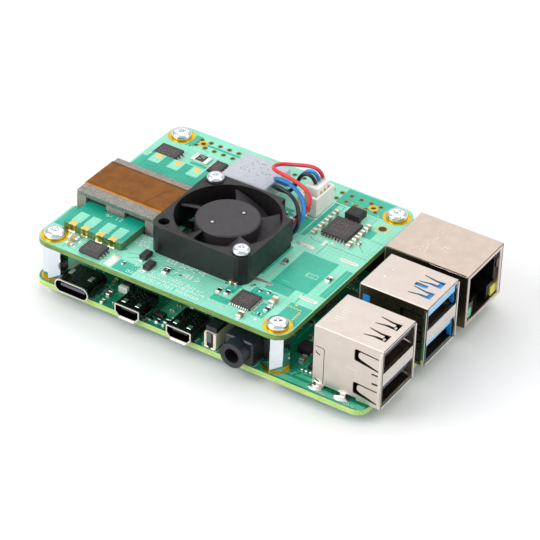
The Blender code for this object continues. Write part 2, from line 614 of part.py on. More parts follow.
def leads():
    sleeves = {"lead_red": "red_sleeve", "lead_black": "black_sleeve", "lead_blue": "blue_sleeve"}
    for name, points in LEAD_ROUTES.items():
        route = smooth_route(points)
        curve = bpy.data.curves.new(name, 'CURVE')
        curve.dimensions = '3D'
        curve.bevel_depth = LEAD_RADIUS / 1000.0
        curve.bevel_resolution = 2
        curve.use_fill_caps = True
        spline = curve.splines.new('POLY')
        spline.points.add(len(route) - 1)
        for point, place in zip(spline.points, route):
            point.co = (*metres(place), 1.0)
        add(name, curve, sleeves[name])


# Assembly -----------------------------------------------------------------------------------
lower_board()
lower_chips()
usb_c_socket()
video_socket("left", 26.0)
video_socket("right", 39.5)
audio_socket()
ribbon_socket("camera", 46.5, 0.6, 22.4)
ribbon_socket("display", 4.0, 17.1, 38.9)
usb_stack("usb2", 9.0, "black_plastic")
usb_stack("usb3", 27.0, "blue_plastic")
network_socket()
header_pins = pin_places(HEADER_START, HEADER_ROWS, 20)
power_pins = pin_places(POWER_CENTRE[0] - PITCH / 2,
                        (POWER_CENTRE[1] - PITCH / 2, POWER_CENTRE[1] + PITCH / 2), 2)
pin_block("pin_header", header_pins)
pin_block("power_header", power_pins)
socket_block("header_socket", header_pins)
socket_block("power_socket", power_pins)
card_socket()
fastenings()
upper_board()
upper_chips()
transformer()
fan_connector()
fan_housing()
fan_inside()
fan_rotor()
fan_screws()
leads()
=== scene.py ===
"""Looks for a single board computer with a fan-cooled power board stacked on it."""
import json
import math
import random

import bmesh
import bpy
from mathutils import Matrix, Vector


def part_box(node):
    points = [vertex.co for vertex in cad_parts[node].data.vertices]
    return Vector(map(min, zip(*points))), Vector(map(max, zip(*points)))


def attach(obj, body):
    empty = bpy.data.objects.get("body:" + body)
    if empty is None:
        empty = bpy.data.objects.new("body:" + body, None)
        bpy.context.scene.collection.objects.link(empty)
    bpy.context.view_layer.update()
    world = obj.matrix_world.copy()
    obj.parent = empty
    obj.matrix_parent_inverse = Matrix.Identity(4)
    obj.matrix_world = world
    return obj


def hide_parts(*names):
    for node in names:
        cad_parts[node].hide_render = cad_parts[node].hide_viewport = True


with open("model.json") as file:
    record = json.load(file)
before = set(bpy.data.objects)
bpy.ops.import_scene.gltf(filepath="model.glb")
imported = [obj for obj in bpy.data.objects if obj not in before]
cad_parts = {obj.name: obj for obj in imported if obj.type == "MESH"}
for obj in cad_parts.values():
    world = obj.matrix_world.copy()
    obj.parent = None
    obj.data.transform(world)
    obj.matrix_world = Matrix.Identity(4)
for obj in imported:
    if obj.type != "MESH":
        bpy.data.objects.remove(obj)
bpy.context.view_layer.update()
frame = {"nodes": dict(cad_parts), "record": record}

MM = 0.001

BOARD_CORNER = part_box("main_board")[0]
BOARD_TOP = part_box("main_board")[1][2]
BOARD_THICK = (BOARD_TOP - BOARD_CORNER[2]) / MM
UPPER = (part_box("top_board")[1][2] - BOARD_TOP) / MM


def place(x, y, z):
    """A point in millimetres from the lower board's corner and upper face, as metres in the row frame."""
    return Vector((BOARD_CORNER[0] + x * MM, BOARD_CORNER[1] + y * MM, BOARD_TOP + z * MM))


def node_box(name):
    """A node's lowest and highest corners, in board millimetres."""
    low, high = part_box(name)
    base = (BOARD_CORNER[0], BOARD_CORNER[1], BOARD_TOP)
    return ([(low[i] - base[i]) / MM for i in range(3)], [(high[i] - base[i]) / MM for i in range(3)])


# ---------------------------------------------------------------- camera

def make_camera():
    azimuth, elevation, roll = math.radians(31.74), math.radians(35.64), math.radians(1.90)
    distance = 575.2
    target = place(48.20, 21.95, 8.0)
    back = Vector((math.sin(azimuth) * math.cos(elevation),
                   -math.cos(azimuth) * math.cos(elevation), math.sin(elevation)))
    level_right = (-back).cross(Vector((0, 0, 1))).normalized()
    level_up = level_right.cross(-back)
    right = level_right * math.cos(roll) + level_up * math.sin(roll)
    up = level_up * math.cos(roll) - level_right * math.sin(roll)
    data = bpy.data.cameras.new("camera")
    data.sensor_width = 36
    data.lens = 176.63
    data.shift_x = -0.0035
    data.shift_y = 0.0044
    data.clip_start = 0.01
    data.clip_end = 20
    camera = bpy.data.objects.new("camera", data)
    bpy.context.scene.collection.objects.link(camera)
    turn = Matrix((right, up, back)).transposed().to_4x4()
    camera.matrix_world = Matrix.Translation(target + back * (distance * MM)) @ turn
    bpy.context.scene.camera = camera


make_camera()


# ---------------------------------------------------------------- materials

SOCKETS = {"metal": "Metallic", "coat": "Coat Weight", "coat_rough": "Coat Roughness", "ior": "IOR",
           "gloss": "Specular IOR Level"}


class Finish:
    """A material's node tree with the Principled shader at its end."""

    def __init__(self, name, **sockets):
        self.material = bpy.data.materials.new(name)
        self.material.use_nodes = True
        self.tree = self.material.node_tree
        self.shader = self.tree.nodes["Principled BSDF"]
        for socket, value in sockets.items():
            self.shader.inputs[SOCKETS[socket]].default_value = value
        self.where = self.node("ShaderNodeTexCoord").outputs["Object"]

    def node(self, kind, **settings):
        made = self.tree.nodes.new(kind)
        for setting, value in settings.items():
            setattr(made, setting, value)
        return made

    def link(self, source, target):
        self.tree.links.new(source, target)

    def stretched(self, scale):
        """Object coordinates scaled by three numbers."""
        mapping = self.node("ShaderNodeMapping")
        mapping.inputs["Scale"].default_value = scale
        self.link(self.where, mapping.inputs["Vector"])
        return mapping.outputs["Vector"]

    def noise(self, size, detail=3.0, rough=0.55, where=None):
        """Noise whose lumps are about size millimetres across."""
        made = self.node("ShaderNodeTexNoise")
        made.inputs["Scale"].default_value = 1 / (size * MM)
        made.inputs["Detail"].default_value = detail
        made.inputs["Roughness"].default_value = rough
        self.link(where or self.where, made.inputs["Vector"])
        return made.outputs["Fac"]

    def ramp(self, value, *stops, mode="LINEAR"):
        """Colours or greys at places along a value; each stop is (place, colour)."""
        made = self.node("ShaderNodeValToRGB")
        made.color_ramp.interpolation = mode
        points = made.color_ramp.elements
        while len(points) < len(stops):
            points.new(0.5)
        for point, (spot, colour) in zip(points, stops):
            point.position = spot
            point.color = grey(colour) if isinstance(colour, (int, float)) else colour
        self.link(value, made.inputs["Fac"])
        return made.outputs["Color"]

    def mix(self, amount, first, second, mode="MIX"):
        made = self.node("ShaderNodeMix", data_type="RGBA", blend_type=mode)
        for socket, value in ((made.inputs["Factor"], amount), (made.inputs[6], first),
                              (made.inputs[7], second)):
            if isinstance(value, bpy.types.NodeSocket):
                self.link(value, socket)
            else:
                socket.default_value = value
        return made.outputs[2]

    def maths(self, operation, first, second=0.0, clamp=False):
        made = self.node("ShaderNodeMath", operation=operation, use_clamp=clamp)
        for socket, value in zip(made.inputs, (first, second)):
            if isinstance(value, bpy.types.NodeSocket):
                self.link(value, socket)
            else:
                socket.default_value = value
        return made.outputs[0]

    def spread(self, value, low, high, start=0.35, end=0.65):
        """Maps a noise value onto a range of numbers."""
        made = self.node("ShaderNodeMapRange")
        for label, number in (("From Min", start), ("From Max", end), ("To Min", low), ("To Max", high)):
            made.inputs[label].default_value = number
        self.link(value, made.inputs["Value"])
        return made.outputs["Result"]

    def colour(self, source):
        self.link(source, self.shader.inputs["Base Color"])

    def roughness(self, source):
        self.link(source, self.shader.inputs["Roughness"])

    def bump(self, height, depth):
        """Relief of depth millimetres."""
        made = self.node("ShaderNodeBump")
        made.inputs["Distance"].default_value = depth * MM
        self.link(height, made.inputs["Height"])
        self.link(made.outputs["Normal"], self.shader.inputs["Normal"])

    def facing(self):
        """How much a face looks along Z, from 0 on an edge to 1 on a flat top."""
        split = self.node("ShaderNodeSeparateXYZ")
        self.link(self.node("ShaderNodeTexCoord").outputs["Normal"], split.inputs[0])
        return self.maths("ABSOLUTE", split.outputs["Z"])


def linear(value):
    """One sRGB channel of 0 to 255 as linear light."""
    value /= 255
    return value / 12.92 if value <= 0.04045 else ((value + 0.055) / 1.055) ** 2.4


def rgb(red, green, blue):
    return (linear(red), linear(green), linear(blue), 1)


def grey(level):
    return (level, level, level, 1)


def shade(colour, factor):
    return tuple(min(1, part * factor) for part in colour[:3]) + (1,)


def plain_finish(name, colour, rough, lumps=1.2, contrast=0.12, speckle=0.15, depth=0.004, spread=0.06,
                 **sockets):
    """Coloured stuff with slow cloudiness, fine speckle, uneven gloss and a fine relief."""
    made = Finish(name, **sockets)
    cloud = made.noise(lumps, detail=4)
    grain = made.noise(speckle, detail=2, rough=0.6)
    base = made.ramp(cloud, (0.3, shade(colour, 1 - contrast)), (0.7, shade(colour, 1 + contrast)))
    flecks = made.ramp(grain, (0.35, 1 - contrast * 0.7), (0.65, 1.0))
    made.colour(made.mix(1.0, base, flecks, "MULTIPLY"))
    made.roughness(made.spread(made.noise(lumps * 0.6), max(0.02, rough - spread), min(1, rough + spread)))
    made.bump(grain, depth)
    return made.material


def metal_finish(name, colour, rough, lumps=2.0, contrast=0.06, scratch=True, depth=0.002, spread=0.05,
                 **sockets):
    """Plated or bare metal: faint clouds, fine rolling lines and scattered rub marks."""
    made = Finish(name, metal=1.0, **sockets)
    cloud = made.noise(lumps, detail=5)
    base = made.ramp(cloud, (0.3, shade(colour, 1 - contrast)), (0.7, shade(colour, 1 + contrast)))
    lines = made.noise(0.12, detail=2, where=made.stretched((0.06, 1.0, 1.0)))
    made.colour(made.mix(0.5, base, made.ramp(lines, (0.3, 1 - contrast), (0.7, 1.0)), "MULTIPLY"))
    rub = made.noise(0.5, detail=6, rough=0.7)
    made.roughness(made.spread(rub, max(0.03, rough - spread), rough + spread, 0.3, 0.7))
    made.bump(lines if scratch else made.noise(0.25), depth)
    return made.material


def fibre_board(name, mask_light, mask_dark, edge_light, edge_dark, rough):
    """Masked glass board: woven weave under the mask, laminate layers on the cut edge."""
    made = Finish(name, ior=1.5, coat=0.1, coat_rough=0.14)
    weave_x = made.node("ShaderNodeTexWave", wave_type="BANDS", bands_direction="X")
    weave_y = made.node("ShaderNodeTexWave", wave_type="BANDS", bands_direction="Y")
    for weave in (weave_x, weave_y):
        weave.inputs["Scale"].default_value = 1 / (3.4 * MM)
        weave.inputs["Distortion"].default_value = 0.6
        weave.inputs["Detail"].default_value = 1
        made.link(made.where, weave.inputs["Vector"])
    cloth = made.maths("MULTIPLY", weave_x.outputs["Fac"], weave_y.outputs["Fac"])
    cloud = made.noise(5.0, detail=4)
    blend = made.maths("ADD", made.maths("MULTIPLY", cloth, 0.22), made.maths("MULTIPLY", cloud, 0.85))
    mask = made.ramp(blend, (0.3, mask_dark), (0.72, mask_light))
    grain = made.noise(0.12, detail=2)
    layers = made.noise(0.16, detail=3, where=made.stretched((0.05, 0.05, 1.0)))
    edge = made.ramp(layers, (0.35, edge_dark), (0.62, edge_light))
    cuts = made.noise(0.35, detail=4, rough=0.7)
    edge = made.mix(0.45, edge, made.ramp(cuts, (0.3, edge_dark), (0.6, edge_light)))
    flat = made.spread(made.facing(), 0, 1, 0.45, 0.55)
    made.colour(made.mix(flat, edge, mask))
    rough_edge = made.spread(cuts, 0.55, 0.8)
    rough_mask = made.spread(made.noise(1.5), rough - 0.06, rough + 0.06)
    made.roughness(made.mix(flat, rough_edge, rough_mask))
    height = made.mix(flat, made.maths("MULTIPLY", layers, 1.5), made.maths("ADD", cloth, grain))
    made.bump(height, 0.006)
    return made.material


def amber_finish(name, colour, dark):
    """Polyimide tape: clear amber film, faint rolling lines, a darker crease and glossy coat."""
    made = Finish(name, metal=0.6, coat=0.06, coat_rough=0.2, gloss=0.3)
    fine = made.noise(0.10, detail=2, where=made.stretched((0.02, 1.0, 1.0)))
    broad = made.noise(3.0, detail=4)
    base = made.ramp(broad, (0.3, dark), (0.75, colour))
    made.colour(made.mix(0.6, base, made.ramp(fine, (0.3, 0.84), (0.7, 1.0)), "MULTIPLY"))
    made.roughness(made.spread(made.noise(0.9), 0.34, 0.5))
    made.bump(made.noise(1.6, detail=3, where=made.stretched((0.25, 1, 1))), 0.02)
    return made.material


def ferrite_finish(name, light, dark, size, rough, depth=0.012):
    """Pressed powder: close dark and light grains."""
    made = Finish(name)
    grains = made.node("ShaderNodeTexVoronoi")
    grains.inputs["Scale"].default_value = 1 / (size * MM)
    made.link(made.where, grains.inputs["Vector"])
    hue = made.node("ShaderNodeSeparateColor")
    made.link(grains.outputs["Color"], hue.inputs[0])
    cloud = made.noise(1.4, detail=5)
    blend = made.maths("ADD", made.maths("MULTIPLY", hue.outputs["Red"], 0.55),
                       made.maths("MULTIPLY", cloud, 0.6))
    made.colour(made.ramp(blend, (0.2, dark), (0.85, light)))
    made.roughness(made.spread(cloud, rough - 0.08, rough + 0.08))
    made.bump(made.noise(size * 1.5, detail=4, rough=0.7), depth)
    return made.material


def package_finish(name, colour, rough=0.62):
    """Moulded chip epoxy: fine sandy relief, faint cloud and small lighter filler grains."""
    made = Finish(name, gloss=0.45)
    sand = made.noise(0.07, detail=3, rough=0.7)
    cloud = made.noise(1.1, detail=3)
    base = made.ramp(cloud, (0.3, shade(colour, 0.8)), (0.7, shade(colour, 1.2)))
    made.colour(made.mix(1.0, base, made.ramp(sand, (0.3, 0.72), (0.68, 1.25)), "MULTIPLY"))
    made.roughness(made.spread(sand, rough - 0.1, rough + 0.12))
    made.bump(sand, 0.008)
    return made.material


def sleeve_finish(name, colour, rough):
    """Wire sleeve: soft vinyl with a long draw grain along the wire and slow shade changes."""
    made = Finish(name, coat=0.15, coat_rough=0.3)
    cloud = made.noise(1.8, detail=3)
    base = made.ramp(cloud, (0.3, shade(colour, 0.84)), (0.7, shade(colour, 1.12)))
    grain = made.noise(0.09, detail=2)
    made.colour(made.mix(0.7, base, made.ramp(grain, (0.3, 0.86), (0.7, 1.0)), "MULTIPLY"))
    made.roughness(made.spread(made.noise(0.5), rough - 0.08, rough + 0.08))
    made.bump(grain, 0.004)
    return made.material


MASK_MINT = fibre_board("mask_over_copper", rgb(152, 232, 206), rgb(130, 216, 186),
                        rgb(134, 170, 84), rgb(60, 88, 42), 0.36)
MASK_TEAL = plain_finish("mask_over_glass", rgb(40, 184, 154), 0.34, 4.0, 0.1, 0.12, 0.003,
                         coat=0.1, coat_rough=0.12)
MASK_COIL = fibre_board("mask_over_winding", rgb(8, 182, 152), rgb(2, 156, 128),
                        rgb(120, 150, 96), rgb(10, 84, 46), 0.4)
# The lower board's own green mask, made darker as painted shade for its place under the upper board.
MASK_LOWER_SHADED = fibre_board("mask_lower_board_and_painted_shade", rgb(32, 158, 122), rgb(8, 122, 88),
                        rgb(204, 230, 142), rgb(146, 184, 92), 0.34)
MASK_LOW_POUR = plain_finish("mask_lower_pour", rgb(76, 190, 152), 0.34, 3.0, 0.1, 0.12, 0.003,
                             coat=0.1, coat_rough=0.12)
MASK_SLOT = plain_finish("mask_trace", rgb(64, 204, 170), 0.34, 2.0, 0.08, 0.1, 0.002)
SILK = plain_finish("legend_ink", rgb(250, 255, 252), 0.55, 0.5, 0.06, 0.08, 0.006)
SILK_SOFT = plain_finish("legend_ink_faint", rgb(198, 240, 220), 0.5, 0.5, 0.06, 0.08, 0.004)
GOLD = metal_finish("gold_plate", rgb(238, 204, 122), 0.3, 2.0, 0.06, spread=0.03)
GOLD_RING = metal_finish("gold_ring", rgb(232, 190, 40), 0.34, 1.2, 0.14)
TIN = metal_finish("tinned_pad", rgb(232, 232, 228), 0.3, 0.5, 0.08, depth=0.004)
SOLDER = metal_finish("solder", rgb(240, 242, 242), 0.28, 0.7, 0.08, scratch=False, depth=0.006)
STEEL = metal_finish("zinc_plate", rgb(236, 240, 246), 0.2, 3.0, 0.03, scratch=False, depth=0.0006,
                     spread=0.03)
POST_METAL = metal_finish("post_metal", rgb(226, 232, 238), 0.13, 2.4, 0.05, depth=0.002)
NICKEL = metal_finish("shell_nickel", rgb(216, 204, 195), 0.36, 3.0, 0.04, depth=0.0015)
NICKEL_DULL = metal_finish("shell_nickel_dull", rgb(212, 196, 182), 0.42, 2.2, 0.06, depth=0.003)
# Darkened nickel: painted shade on sheet sides and plates that stand in shadow.
NICKEL_SHADE = metal_finish("shell_nickel_painted_shade", rgb(104, 94, 80), 0.4, 1.6, 0.16, depth=0.003)
NICKEL_BRIGHT = metal_finish("shell_nickel_bright", rgb(236, 228, 218), 0.22, 3.0, 0.04, depth=0.0015)
# Shell metal darkened to stand for the dark surroundings it reflects: painted reflection.
SHELL_PAINTED_DARK = metal_finish("socket_shell_painted_dark_reflection", rgb(70, 64, 60), 0.26, 1.6, 0.2, depth=0.004)
BRASS = metal_finish("brass_contact", rgb(214, 168, 92), 0.3, 0.8, 0.1)
DARK_PLASTIC = plain_finish("dark_plastic", rgb(34, 34, 38), 0.42, 1.6, 0.2, 0.12, 0.006)
JACK_PLASTIC = plain_finish("jack_plastic", rgb(33, 35, 43), 0.36, 1.8, 0.14, 0.12, 0.006)
SLATE_PLASTIC = plain_finish("slate_plastic", rgb(96, 97, 108), 0.48, 1.2, 0.12, 0.1, 0.005)
FAN_PLASTIC = plain_finish("fan_moulding", rgb(30, 27, 29), 0.38, 2.2, 0.14, 0.14, 0.012, 0.08,
                           gloss=0.42)
FAN_WHEEL = plain_finish("fan_wheel_moulding", rgb(59, 54, 58), 0.5, 2.2, 0.1, 0.1, 0.009, 0.05)
# Near white for the hub's dimples: painted highlight.
FAN_HUB_HIGHLIGHT = plain_finish("fan_hub_painted_highlight", rgb(206, 204, 208), 0.22, 1.0, 0.1, 0.1, 0.004)
CREAM = plain_finish("cream_nylon", rgb(230, 220, 190), 0.5, 1.6, 0.05, 0.12, 0.006)
WHITE = plain_finish("white_nylon", rgb(250, 248, 240), 0.48, 1.6, 0.04, 0.12, 0.006)
BONE = plain_finish("bone_nylon", rgb(206, 196, 160), 0.5, 1.2, 0.08, 0.12, 0.006)
BLUE = plain_finish("blue_plastic", rgb(30, 150, 226), 0.34, 1.5, 0.1, 0.12, 0.005)
# Pale blue for the blue tongues' front lips: painted reflection.
BLUE_REFLECTION = plain_finish("blue_plastic_painted_reflection", rgb(150, 208, 246), 0.36, 1.5, 0.06, 0.12, 0.005)
PACKAGE = package_finish("chip_epoxy", rgb(74, 68, 68))
PACKAGE_DARK = package_finish("chip_epoxy_dark", rgb(42, 38, 40), 0.55)
DIE_MARK = plain_finish("laser_mark", rgb(128, 120, 120), 0.6, 0.4, 0.12, 0.08, 0.004)
FERRITE = ferrite_finish("ferrite_core", rgb(166, 161, 152), rgb(104, 100, 94), 0.16, 0.62)
# Greenish grey for the core's front face: painted shade and painted reflection of the board.
FERRITE_FRONT_SHADE = ferrite_finish("ferrite_front_painted_shade", rgb(126, 144, 130), rgb(58, 80, 66), 0.2, 0.5, 0.02)
# Dark green ferrite: painted shade, with the board's green reflected in it, for the plate and the core's
# window.
FERRITE_SHADE = ferrite_finish("ferrite_painted_shade", rgb(48, 70, 58), rgb(12, 28, 22), 0.18, 0.5)
CHOKE = ferrite_finish("choke_block", rgb(200, 203, 210), rgb(182, 186, 194), 0.22, 0.6, 0.004)
CHOKE_MARK = plain_finish("choke_mark", rgb(96, 98, 106), 0.7, 0.3, 0.12, 0.08, 0.004)
AMBER = amber_finish("amber_tape", rgb(152, 94, 24), rgb(124, 72, 14))
# Lighter golden film for the tape's edges, and on its folded ends a painted highlight.
AMBER_EDGE_AND_HIGHLIGHT = amber_finish("amber_tape_edge_and_painted_highlight", rgb(226, 168, 70), rgb(190, 132, 44))
CAP_BEIGE = plain_finish("ceramic_capacitor", rgb(196, 158, 112), 0.45, 0.5, 0.14, 0.08, 0.006)
CAP_BROWN = plain_finish("ceramic_capacitor_brown", rgb(150, 104, 66), 0.45, 0.5, 0.16, 0.08, 0.006)
RESISTOR = plain_finish("resistor_glaze", rgb(26, 24, 26), 0.25, 0.5, 0.2, 0.08, 0.004)
RESISTOR_MARK = plain_finish("resistor_mark", rgb(214, 212, 206), 0.5, 0.2, 0.1, 0.06, 0.003)
HOLE_DARK = plain_finish("hole_shade", rgb(54, 42, 18), 0.5, 0.3, 0.25, 0.06, 0.004)
PIN_RING = metal_finish("pin_ring", rgb(150, 150, 84), 0.42, 0.8, 0.2)
JACK_BLOCK = plain_finish("jack_block", rgb(17, 16, 19), 0.34, 1.2, 0.2, 0.1, 0.005)
TONGUE = plain_finish("port_tongue", rgb(60, 60, 74), 0.4, 1.4, 0.1, 0.1, 0.004)
# Near black for pits, slits and openings: painted shade.
OPENING_SHADE = plain_finish("painted_opening_shade", rgb(10, 9, 9), 0.6, 0.6, 0.25, 0.1, 0.004)
RED = sleeve_finish("red_sleeve", rgb(232, 52, 58), 0.38)
LEAD_BLUE = sleeve_finish("blue_sleeve", rgb(28, 138, 218), 0.34)
LEAD_BLACK = sleeve_finish("black_sleeve", rgb(22, 22, 26), 0.34)
GREEN_LAMP = plain_finish("green_window", rgb(96, 190, 142), 0.25, 0.6, 0.1, 0.1, 0.003)
YELLOW_LAMP = plain_finish("yellow_window", rgb(214, 214, 70), 0.25, 0.6, 0.1, 0.1, 0.003)
STATOR = metal_finish("stator_copper", rgb(168, 96, 52), 0.4, 0.5, 0.2)


# ---------------------------------------------------------------- mesh making

def inset_outline(outline, amount):
    """Moves each side of a closed outline inwards by an amount; the outline runs anticlockwise."""
    moved = []
    count = len(outline)
    for i, point in enumerate(outline):
        here = Vector(point)
        before = here - Vector(outline[i - 1])
        after = Vector(outline[(i + 1) % count]) - here
        before.normalize()
        after.normalize()
        inward = Vector((-before.y - after.y, before.x + after.x))
        if inward.length < 1e-9:
            moved.append(tuple(here))
            continue
        inward.normalize()
        cosine = max(0.35, inward.dot(Vector((-after.y, after.x))))
        moved.append(tuple(here + inward * (amount / cosine)))
    return moved


def rectangle(x0, y0, x1, y1):
    return [(x0, y0), (x1, y0), (x1, y1), (x0, y1)]


def turned_rectangle(x, y, length, width, degrees):
    """A rectangle about a centre, its length at an angle from X."""
    angle = math.radians(degrees)
    along = Vector((math.cos(angle), math.sin(angle))) * length / 2
    across = Vector((-math.sin(angle), math.cos(angle))) * width / 2
    centre = Vector((x, y))
    return [tuple(centre + along * a + across * b) for a, b in ((-1, -1), (1, -1), (1, 1), (-1, 1))]


def circle(x, y, radius, steps=32, start=0.0):
    return [(x + radius * math.cos(start + i * math.tau / steps),
             y + radius * math.sin(start + i * math.tau / steps)) for i in range(steps)]


def rounded(x0, y0, x1, y1, radius, steps=5):
    """A rectangle with round corners."""
    points = []
    for cx, cy, begin in ((x1 - radius, y0 + radius, -90), (x1 - radius, y1 - radius, 0),
                          (x0 + radius, y1 - radius, 90), (x0 + radius, y0 + radius, 180)):
        for i in range(steps + 1):
            angle = math.radians(begin + 90 * i / steps)
            points.append((cx + radius * math.cos(angle), cy + radius * math.sin(angle)))
    return points


class Solids:
    """Closed solids in board millimetres, which become one piece."""

    def __init__(self):
        self.mesh = bmesh.new()
        self.materials = []

    def index(self, material):
        if material not in self.materials:
            self.materials.append(material)
        return self.materials.index(material)

    def skin(self, loops, material, smooth=False, close_start=True, close_end=True):
        """Joins loops of equal length, each a ring of points, into a closed skin."""
        slot = self.index(material)
        rings = [[self.mesh.verts.new(point) for point in loop] for loop in loops]
        faces = []
        count = len(rings[0])
        for low, high in zip(rings, rings[1:]):
            for i in range(count):
                j = (i + 1) % count
                faces.append(self.mesh.faces.new((low[i], low[j], high[j], high[i])))
        for face in faces:
            face.smooth = smooth
        if close_start:
            faces.append(self.mesh.faces.new(list(reversed(rings[0]))))
        if close_end:
            faces.append(self.mesh.faces.new(rings[-1]))
        for face in faces:
            face.material_index = slot
        return faces

    def prism(self, outline, bottom, top, material, bevel=0.0, foot=0.0, smooth=False):
        """An upright solid on an outline, its upper and lower edges cut back by bevel and foot."""
        levels = []
        if foot:
            levels.append((foot, bottom))
            levels.append((0, bottom + foot))
        else:
            levels.append((0, bottom))
        if bevel:
            levels.append((0, top - bevel))
            levels.append((bevel, top))
        else:
            levels.append((0, top))
        loops = []
        for amount, height in levels:
            ring = inset_outline(outline, amount) if amount else outline
            loops.append([(x, y, height) for x, y in ring])
        return self.skin(loops, material, smooth)

    def block(self, low, high, material, bevel=0.0, foot=0.0):
        return self.prism(rectangle(low[0], low[1], high[0], high[1]), low[2], high[2], material, bevel, foot)

    def hoop(self, loops, material, smooth=False):
        """Joins loops of equal length, and the last to the first, into a solid with a hole through it."""
        slot = self.index(material)
        rings = [[self.mesh.verts.new(point) for point in loop] for loop in loops]
        count = len(rings[0])
        for a, b in zip(rings, rings[1:] + rings[:1]):
            for i in range(count):
                j = (i + 1) % count
                face = self.mesh.faces.new((a[i], a[j], b[j], b[i]))
                face.material_index = slot
                face.smooth = smooth

    def ring(self, x, y, inner, outer, bottom, top, material, steps=32, smooth=False):
        """A washer: an annulus with a flat top."""
        profile = ((inner, bottom), (outer, bottom), (outer, top), (inner, top))
        self.hoop([[(px, py, height) for px, py in circle(x, y, radius, steps)]
                   for radius, height in profile],
                  material, smooth)

    def dome(self, x, y, radius, bottom, height, material, steps=20, rings=5, stretch=(1, 1)):
        """A blob of solder or a low round head."""
        loops = []
        for k in range(rings):
            angle = math.radians(90 * k / rings)
            loops.append([(x + (px - x) * stretch[0], y + (py - y) * stretch[1],
                           bottom + height * math.sin(angle))
                          for px, py in circle(x, y, radius * math.cos(angle), steps)])
        return self.skin(loops, material, smooth=True)

    def line(self, points, width, bottom, top, material):
        """A flat printed or etched line along points, with square joints."""
        left, right = [], []
        for i, point in enumerate(points):
            here = Vector(point[:2])
            before = (here - Vector(points[i - 1][:2])) if i else Vector(points[1][:2]) - here
            after = (Vector(points[i + 1][:2]) - here) if i + 1 < len(points) else before
            before = before.normalized()
            after = after.normalized()
            side = Vector((-before.y - after.y, before.x + after.x)).normalized()
            reach = width / 2 / max(0.4, side.dot(Vector((-after.y, after.x))))
            left.append(here + side * reach)
            right.append(here - side * reach)
        slot = self.index(material)
        rows = []
        for a, b in zip(left, right):
            rows.append([self.mesh.verts.new((b.x, b.y, bottom)), self.mesh.verts.new((a.x, a.y, bottom)),
                         self.mesh.verts.new((a.x, a.y, top)), self.mesh.verts.new((b.x, b.y, top))])
        faces = [self.mesh.faces.new(rows[0]), self.mesh.faces.new(list(reversed(rows[-1])))]
        for first, second in zip(rows, rows[1:]):
            for i in range(4):
                j = (i + 1) % 4
                faces.append(self.mesh.faces.new((first[j], first[i], second[i], second[j])))
        for face in faces:
            face.material_index = slot

    def tube(self, points, radius, material, steps=12):
        """A round rod along points in space."""
        path = [Vector(point) for point in points]
        loops = []
        side = None
        for i, here in enumerate(path):
            ahead = (path[min(i + 1, len(path) - 1)] - path[max(i - 1, 0)]).normalized()
            if side is None:
                side = ahead.orthogonal().normalized()
            side = (side - ahead * side.dot(ahead)).normalized()
            other = ahead.cross(side)
            loops.append([here + (side * math.cos(t) + other * math.sin(t)) * radius
                          for t in (k * math.tau / steps for k in range(steps))])
        return self.skin(loops, material, smooth=True)

    def slanted(self, start, end, width, thick, material):
        """A flat spring leaf from start to end in the plane across Y, width wide along Y."""
        (x0, y, z0), (x1, _, z1) = start, end
        self.skin([[(x0, y - width, z0 + rise), (x1, y - width, z1 + rise), (x1, y + width, z1 + rise),
                    (x0, y + width, z0 + rise)] for rise in (0, thick)], material)

    def strip(self, profile, start, end, axis, material, smooth=False):
        """A bent strip: an outline in the plane across an axis, pulled along that axis."""
        def spot(a, b, c):
            return {"x": (c, a, b), "y": (a, c, b)}[axis]
        loops = [[spot(a, b, start) for a, b in profile], [spot(a, b, end) for a, b in profile]]
        return self.skin(loops, material, smooth)

    def piece(self, name, body="computer", slot=None, replaces=()):
        """Turns the solids into an object in the row frame and fastens it to its body."""
        bmesh.ops.remove_doubles(self.mesh, verts=self.mesh.verts, dist=1e-5)
        bmesh.ops.recalc_face_normals(self.mesh, faces=self.mesh.faces)
        for vertex in self.mesh.verts:
            vertex.co = place(*vertex.co)
        data = bpy.data.meshes.new(name)
        self.mesh.to_mesh(data)
        self.mesh.free()
        for material in self.materials:
            data.materials.append(material)
        made = bpy.data.objects.new(name, data)
        bpy.context.scene.collection.objects.link(made)
        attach(made, body)
        if replaces:
            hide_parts(*replaces)
        return made


def dress(node, material):
    """Gives a CAD node its finish."""
    data = frame["nodes"][node].data
    data.materials.clear()
    data.materials.append(material)


def slot_of(node):
    """The record's material slot for a CAD node."""
    for part in frame["record"]["subparts"]:
        if part["node"] == node:
            return part["material_slot"]
    return None


def soften(node, material, width=0.15, segments=2, body="computer", angle=35):
    """Stands for a CAD node with a copy whose sharp edges are rounded, so that they catch light."""
    data = frame["nodes"][node].data.copy()
    mesh = bmesh.new()
    mesh.from_mesh(data)
    bmesh.ops.remove_doubles(mesh, verts=mesh.verts, dist=2e-6)
    bmesh.ops.dissolve_limit(mesh, angle_limit=math.radians(1.5), verts=mesh.verts, edges=mesh.edges)
    for face in mesh.faces:
        face.smooth = False
        face.material_index = 0
    mesh.to_mesh(data)
    mesh.free()
    data.materials.clear()
    data.materials.append(material)
    made = bpy.data.objects.new(f"{node}.rounded", data)
    bpy.context.scene.collection.objects.link(made)
    bevel = made.modifiers.new("edges", "BEVEL")
    bevel.width = width * MM
    bevel.segments = segments
    bevel.limit_method = "ANGLE"
    bevel.angle_limit = math.radians(angle)
    bevel.use_clamp_overlap = True
    bevel.harden_normals = False
    bpy.context.view_layer.update()
    graph = bpy.context.evaluated_depsgraph_get()
    rounded_mesh = bpy.data.meshes.new_from_object(made.evaluated_get(graph), depsgraph=graph)
    made.modifiers.clear()
    made.data = rounded_mesh
    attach(made, body)
    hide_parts(node)
    return made


